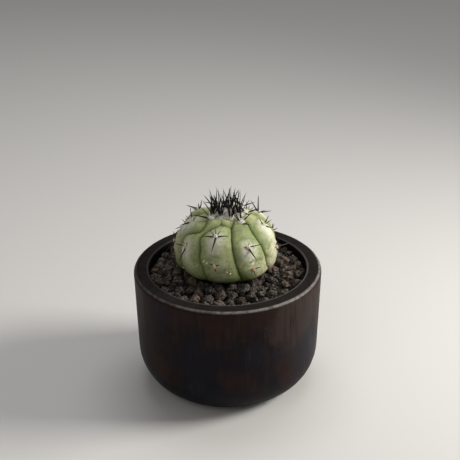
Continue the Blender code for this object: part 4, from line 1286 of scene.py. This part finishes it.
def bed(finish):
    """The bed under the grains: a crumbly closed ring round the plant's neck."""
    floor = SOIL_TOP + GAP
    inner, low_inner = (root_radius(height) + BED_TO_ROOT for height in (bed_top(0.0), floor))
    outline = [(r, float(bed_top(r))) for r in np.linspace(inner, BED_RADIUS, BED_STEPS)]
    outline += [(BED_RADIUS, floor), (low_inner, floor)]
    places, _ = turned(outline, BED_SIDES)
    places[..., 0] += PLANT_X * (1 - np.array(outline)[:, :1] / BED_RADIUS)
    crumbs = rough(places, *BED_CRUMBS)
    crumbs[[0, -3, -2, -1]] = 0.0
    places[..., 2] += crumbs
    heap = Heap()
    faces = flipped(grid_faces(len(outline), BED_SIDES, closed_rows=True))
    heap.add(places.reshape(-1, 3), faces, BED_TINT_AND_SHADE)
    heap.piece("grit_bed", finish, "lava_grit", "gravel")


def grit_finish():
    """Porous lava: grey-brown, some grains tan or reddish, with dark pores. The marks: light, warm, and
    deep, which is painted shade on the bed and chips in the gaps.
    """
    f = Finish("lava_grit", Roughness=0.95, Specular_IOR_Level=0.25)
    light, warm, deep, _ = f.marks()
    mottle = f.noise(1.1 * MM, 5.0, 0.68)
    f.colour = f.ramp(mottle, (0.34, (0.014, 0.012, 0.01)), (0.5, (0.062, 0.052, 0.044)),
                      (0.64, (0.2, 0.172, 0.148)))
    f.coat(f.span(light, 0.0, 1.0, 0.45, 0.0), (0.026, 0.022, 0.019))
    f.coat(f.span(warm, 0.0, 1.0, 0.0, 0.42), (0.165, 0.11, 0.076))
    pores = f.span(f.cells(0.75 * MM), 0.05, 0.32, 0.75, 0.0)
    f.coat(pores, (0.012, 0.01, 0.009))
    # Painted shade: the bed and the chips, down in the gaps between the grains, are darkened.
    f.coat(f.times(deep, 0.8), (0.01, 0.008, 0.007))
    fine = f.bump(f.noise(0.25 * MM, 3.0, 0.7), 0.1 * MM, 0.8)
    return f.done(None, f.bump(f.moved(mottle, pores, -0.9), 0.4 * MM, 0.9, fine))


def hidden_finishes():
    """Materials for the CAD nodes that stay: the potting mix and the mesh over the drain hole."""
    f = Finish("potting_mix", Roughness=0.97)
    f.colour = f.ramp(f.noise(1.2 * MM, 5.0, 0.65), (0.3, (0.018, 0.011, 0.007)),
                      (0.55, (0.055, 0.036, 0.024)), (0.75, (0.12, 0.085, 0.06)))
    pumice = f.span(f.cells(2.2 * MM), 0.0, 0.2, 0.6, 0.0)
    f.coat(pumice, (0.22, 0.19, 0.16))
    mix = f.done(None, f.bump(f.moved(f.noise(1.5 * MM, 5.0, 0.7), f.cells(1.1 * MM)), 0.6 * MM))
    f = Finish("net_plastic", Roughness=0.5)
    f.colour = f.ramp(f.noise(2 * MM, 3.0), (0.35, (0.012, 0.015, 0.012)), (0.7, (0.03, 0.034, 0.03)))
    net = f.done(f.span(f.noise(0.8 * MM), 0.3, 0.7, 0.42, 0.6),
                 f.bump(f.noise(0.4 * MM, 2.0), 0.04 * MM, 0.6))
    for node, finish in (("soil", mix), ("drain_net", net)):
        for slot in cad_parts[node].material_slots:
            slot.material = finish


def camera():
    """The camera at the photo's angle, rolled a little."""
    data = bpy.data.cameras.new("camera")
    data.sensor_width = 36
    data.sensor_fit = "HORIZONTAL"
    data.lens = data.sensor_width / 2 / math.tan(math.radians(CAMERA_WIDTH_DEG / 2))
    data.clip_start = 0.01
    pitch, roll = math.radians(CAMERA_DOWN_DEG), math.radians(CAMERA_ROLL_DEG)
    forward = Vector((0, math.cos(pitch), -math.sin(pitch)))
    level_up = Vector((0, math.sin(pitch), math.cos(pitch)))
    level_right = Vector((1, 0, 0))
    right = level_right * math.cos(roll) - level_up * math.sin(roll)
    up = level_up * math.cos(roll) + level_right * math.sin(roll)
    aim = Vector((0, 0, CAMERA_AIM_HEIGHT)) + level_right * CAMERA_AIM_RIGHT + level_up * CAMERA_AIM_UP
    made = shown("camera", data)
    made.matrix_world = Matrix((right, up, -forward)).transposed().to_4x4()
    made.location = aim - forward * CAMERA_AWAY
    bpy.context.scene.camera = made


def lamp(name, place, size, watts, colour=(1.0, 1.0, 1.0), spread_deg=180.0):
    """A soft rectangular light that faces the plant. A small spread keeps it off the floor elsewhere."""
    data = bpy.data.lights.new(name, "AREA")
    data.shape = "RECTANGLE"
    data.size, data.size_y = size
    data.energy = watts
    data.color = colour
    data.spread = math.radians(spread_deg)
    made = shown(name, data)
    made.location = place
    aim = Vector((0, 0, LAMP_AIM_HEIGHT)) - Vector(place)
    made.rotation_euler = aim.to_track_quat("-Z", "Y").to_euler()


def stage():
    """A plain pale floor and soft studio light, strongest from the upper right."""
    mesh = bpy.data.meshes.new("floor")
    corners = [(x * FLOOR_REACH, y * FLOOR_REACH, 0) for x, y in ((-1, -1), (1, -1), (1, 1), (-1, 1))]
    mesh.from_pydata(corners, [], [(0, 1, 2, 3)])
    f = Finish("pale_floor", Roughness=0.85)
    f.colour = FLOOR_COLOUR
    mesh.materials.append(f.done())
    floor = shown("floor", mesh)
    world = bpy.data.worlds.new("studio")
    world.use_nodes = True
    background = world.node_tree.nodes["Background"]
    background.inputs["Color"].default_value = (*WORLD_COLOUR, 1.0)
    background.inputs["Strength"].default_value = WORLD_STRENGTH
    bpy.context.scene.world = world
    bpy.context.scene.view_settings.view_transform = "Standard"
    for values in LAMPS:
        lamp(*values)


pot()
gravel()
taproot()
stem()
areoles()
specks()
hidden_finishes()
camera()
stage()
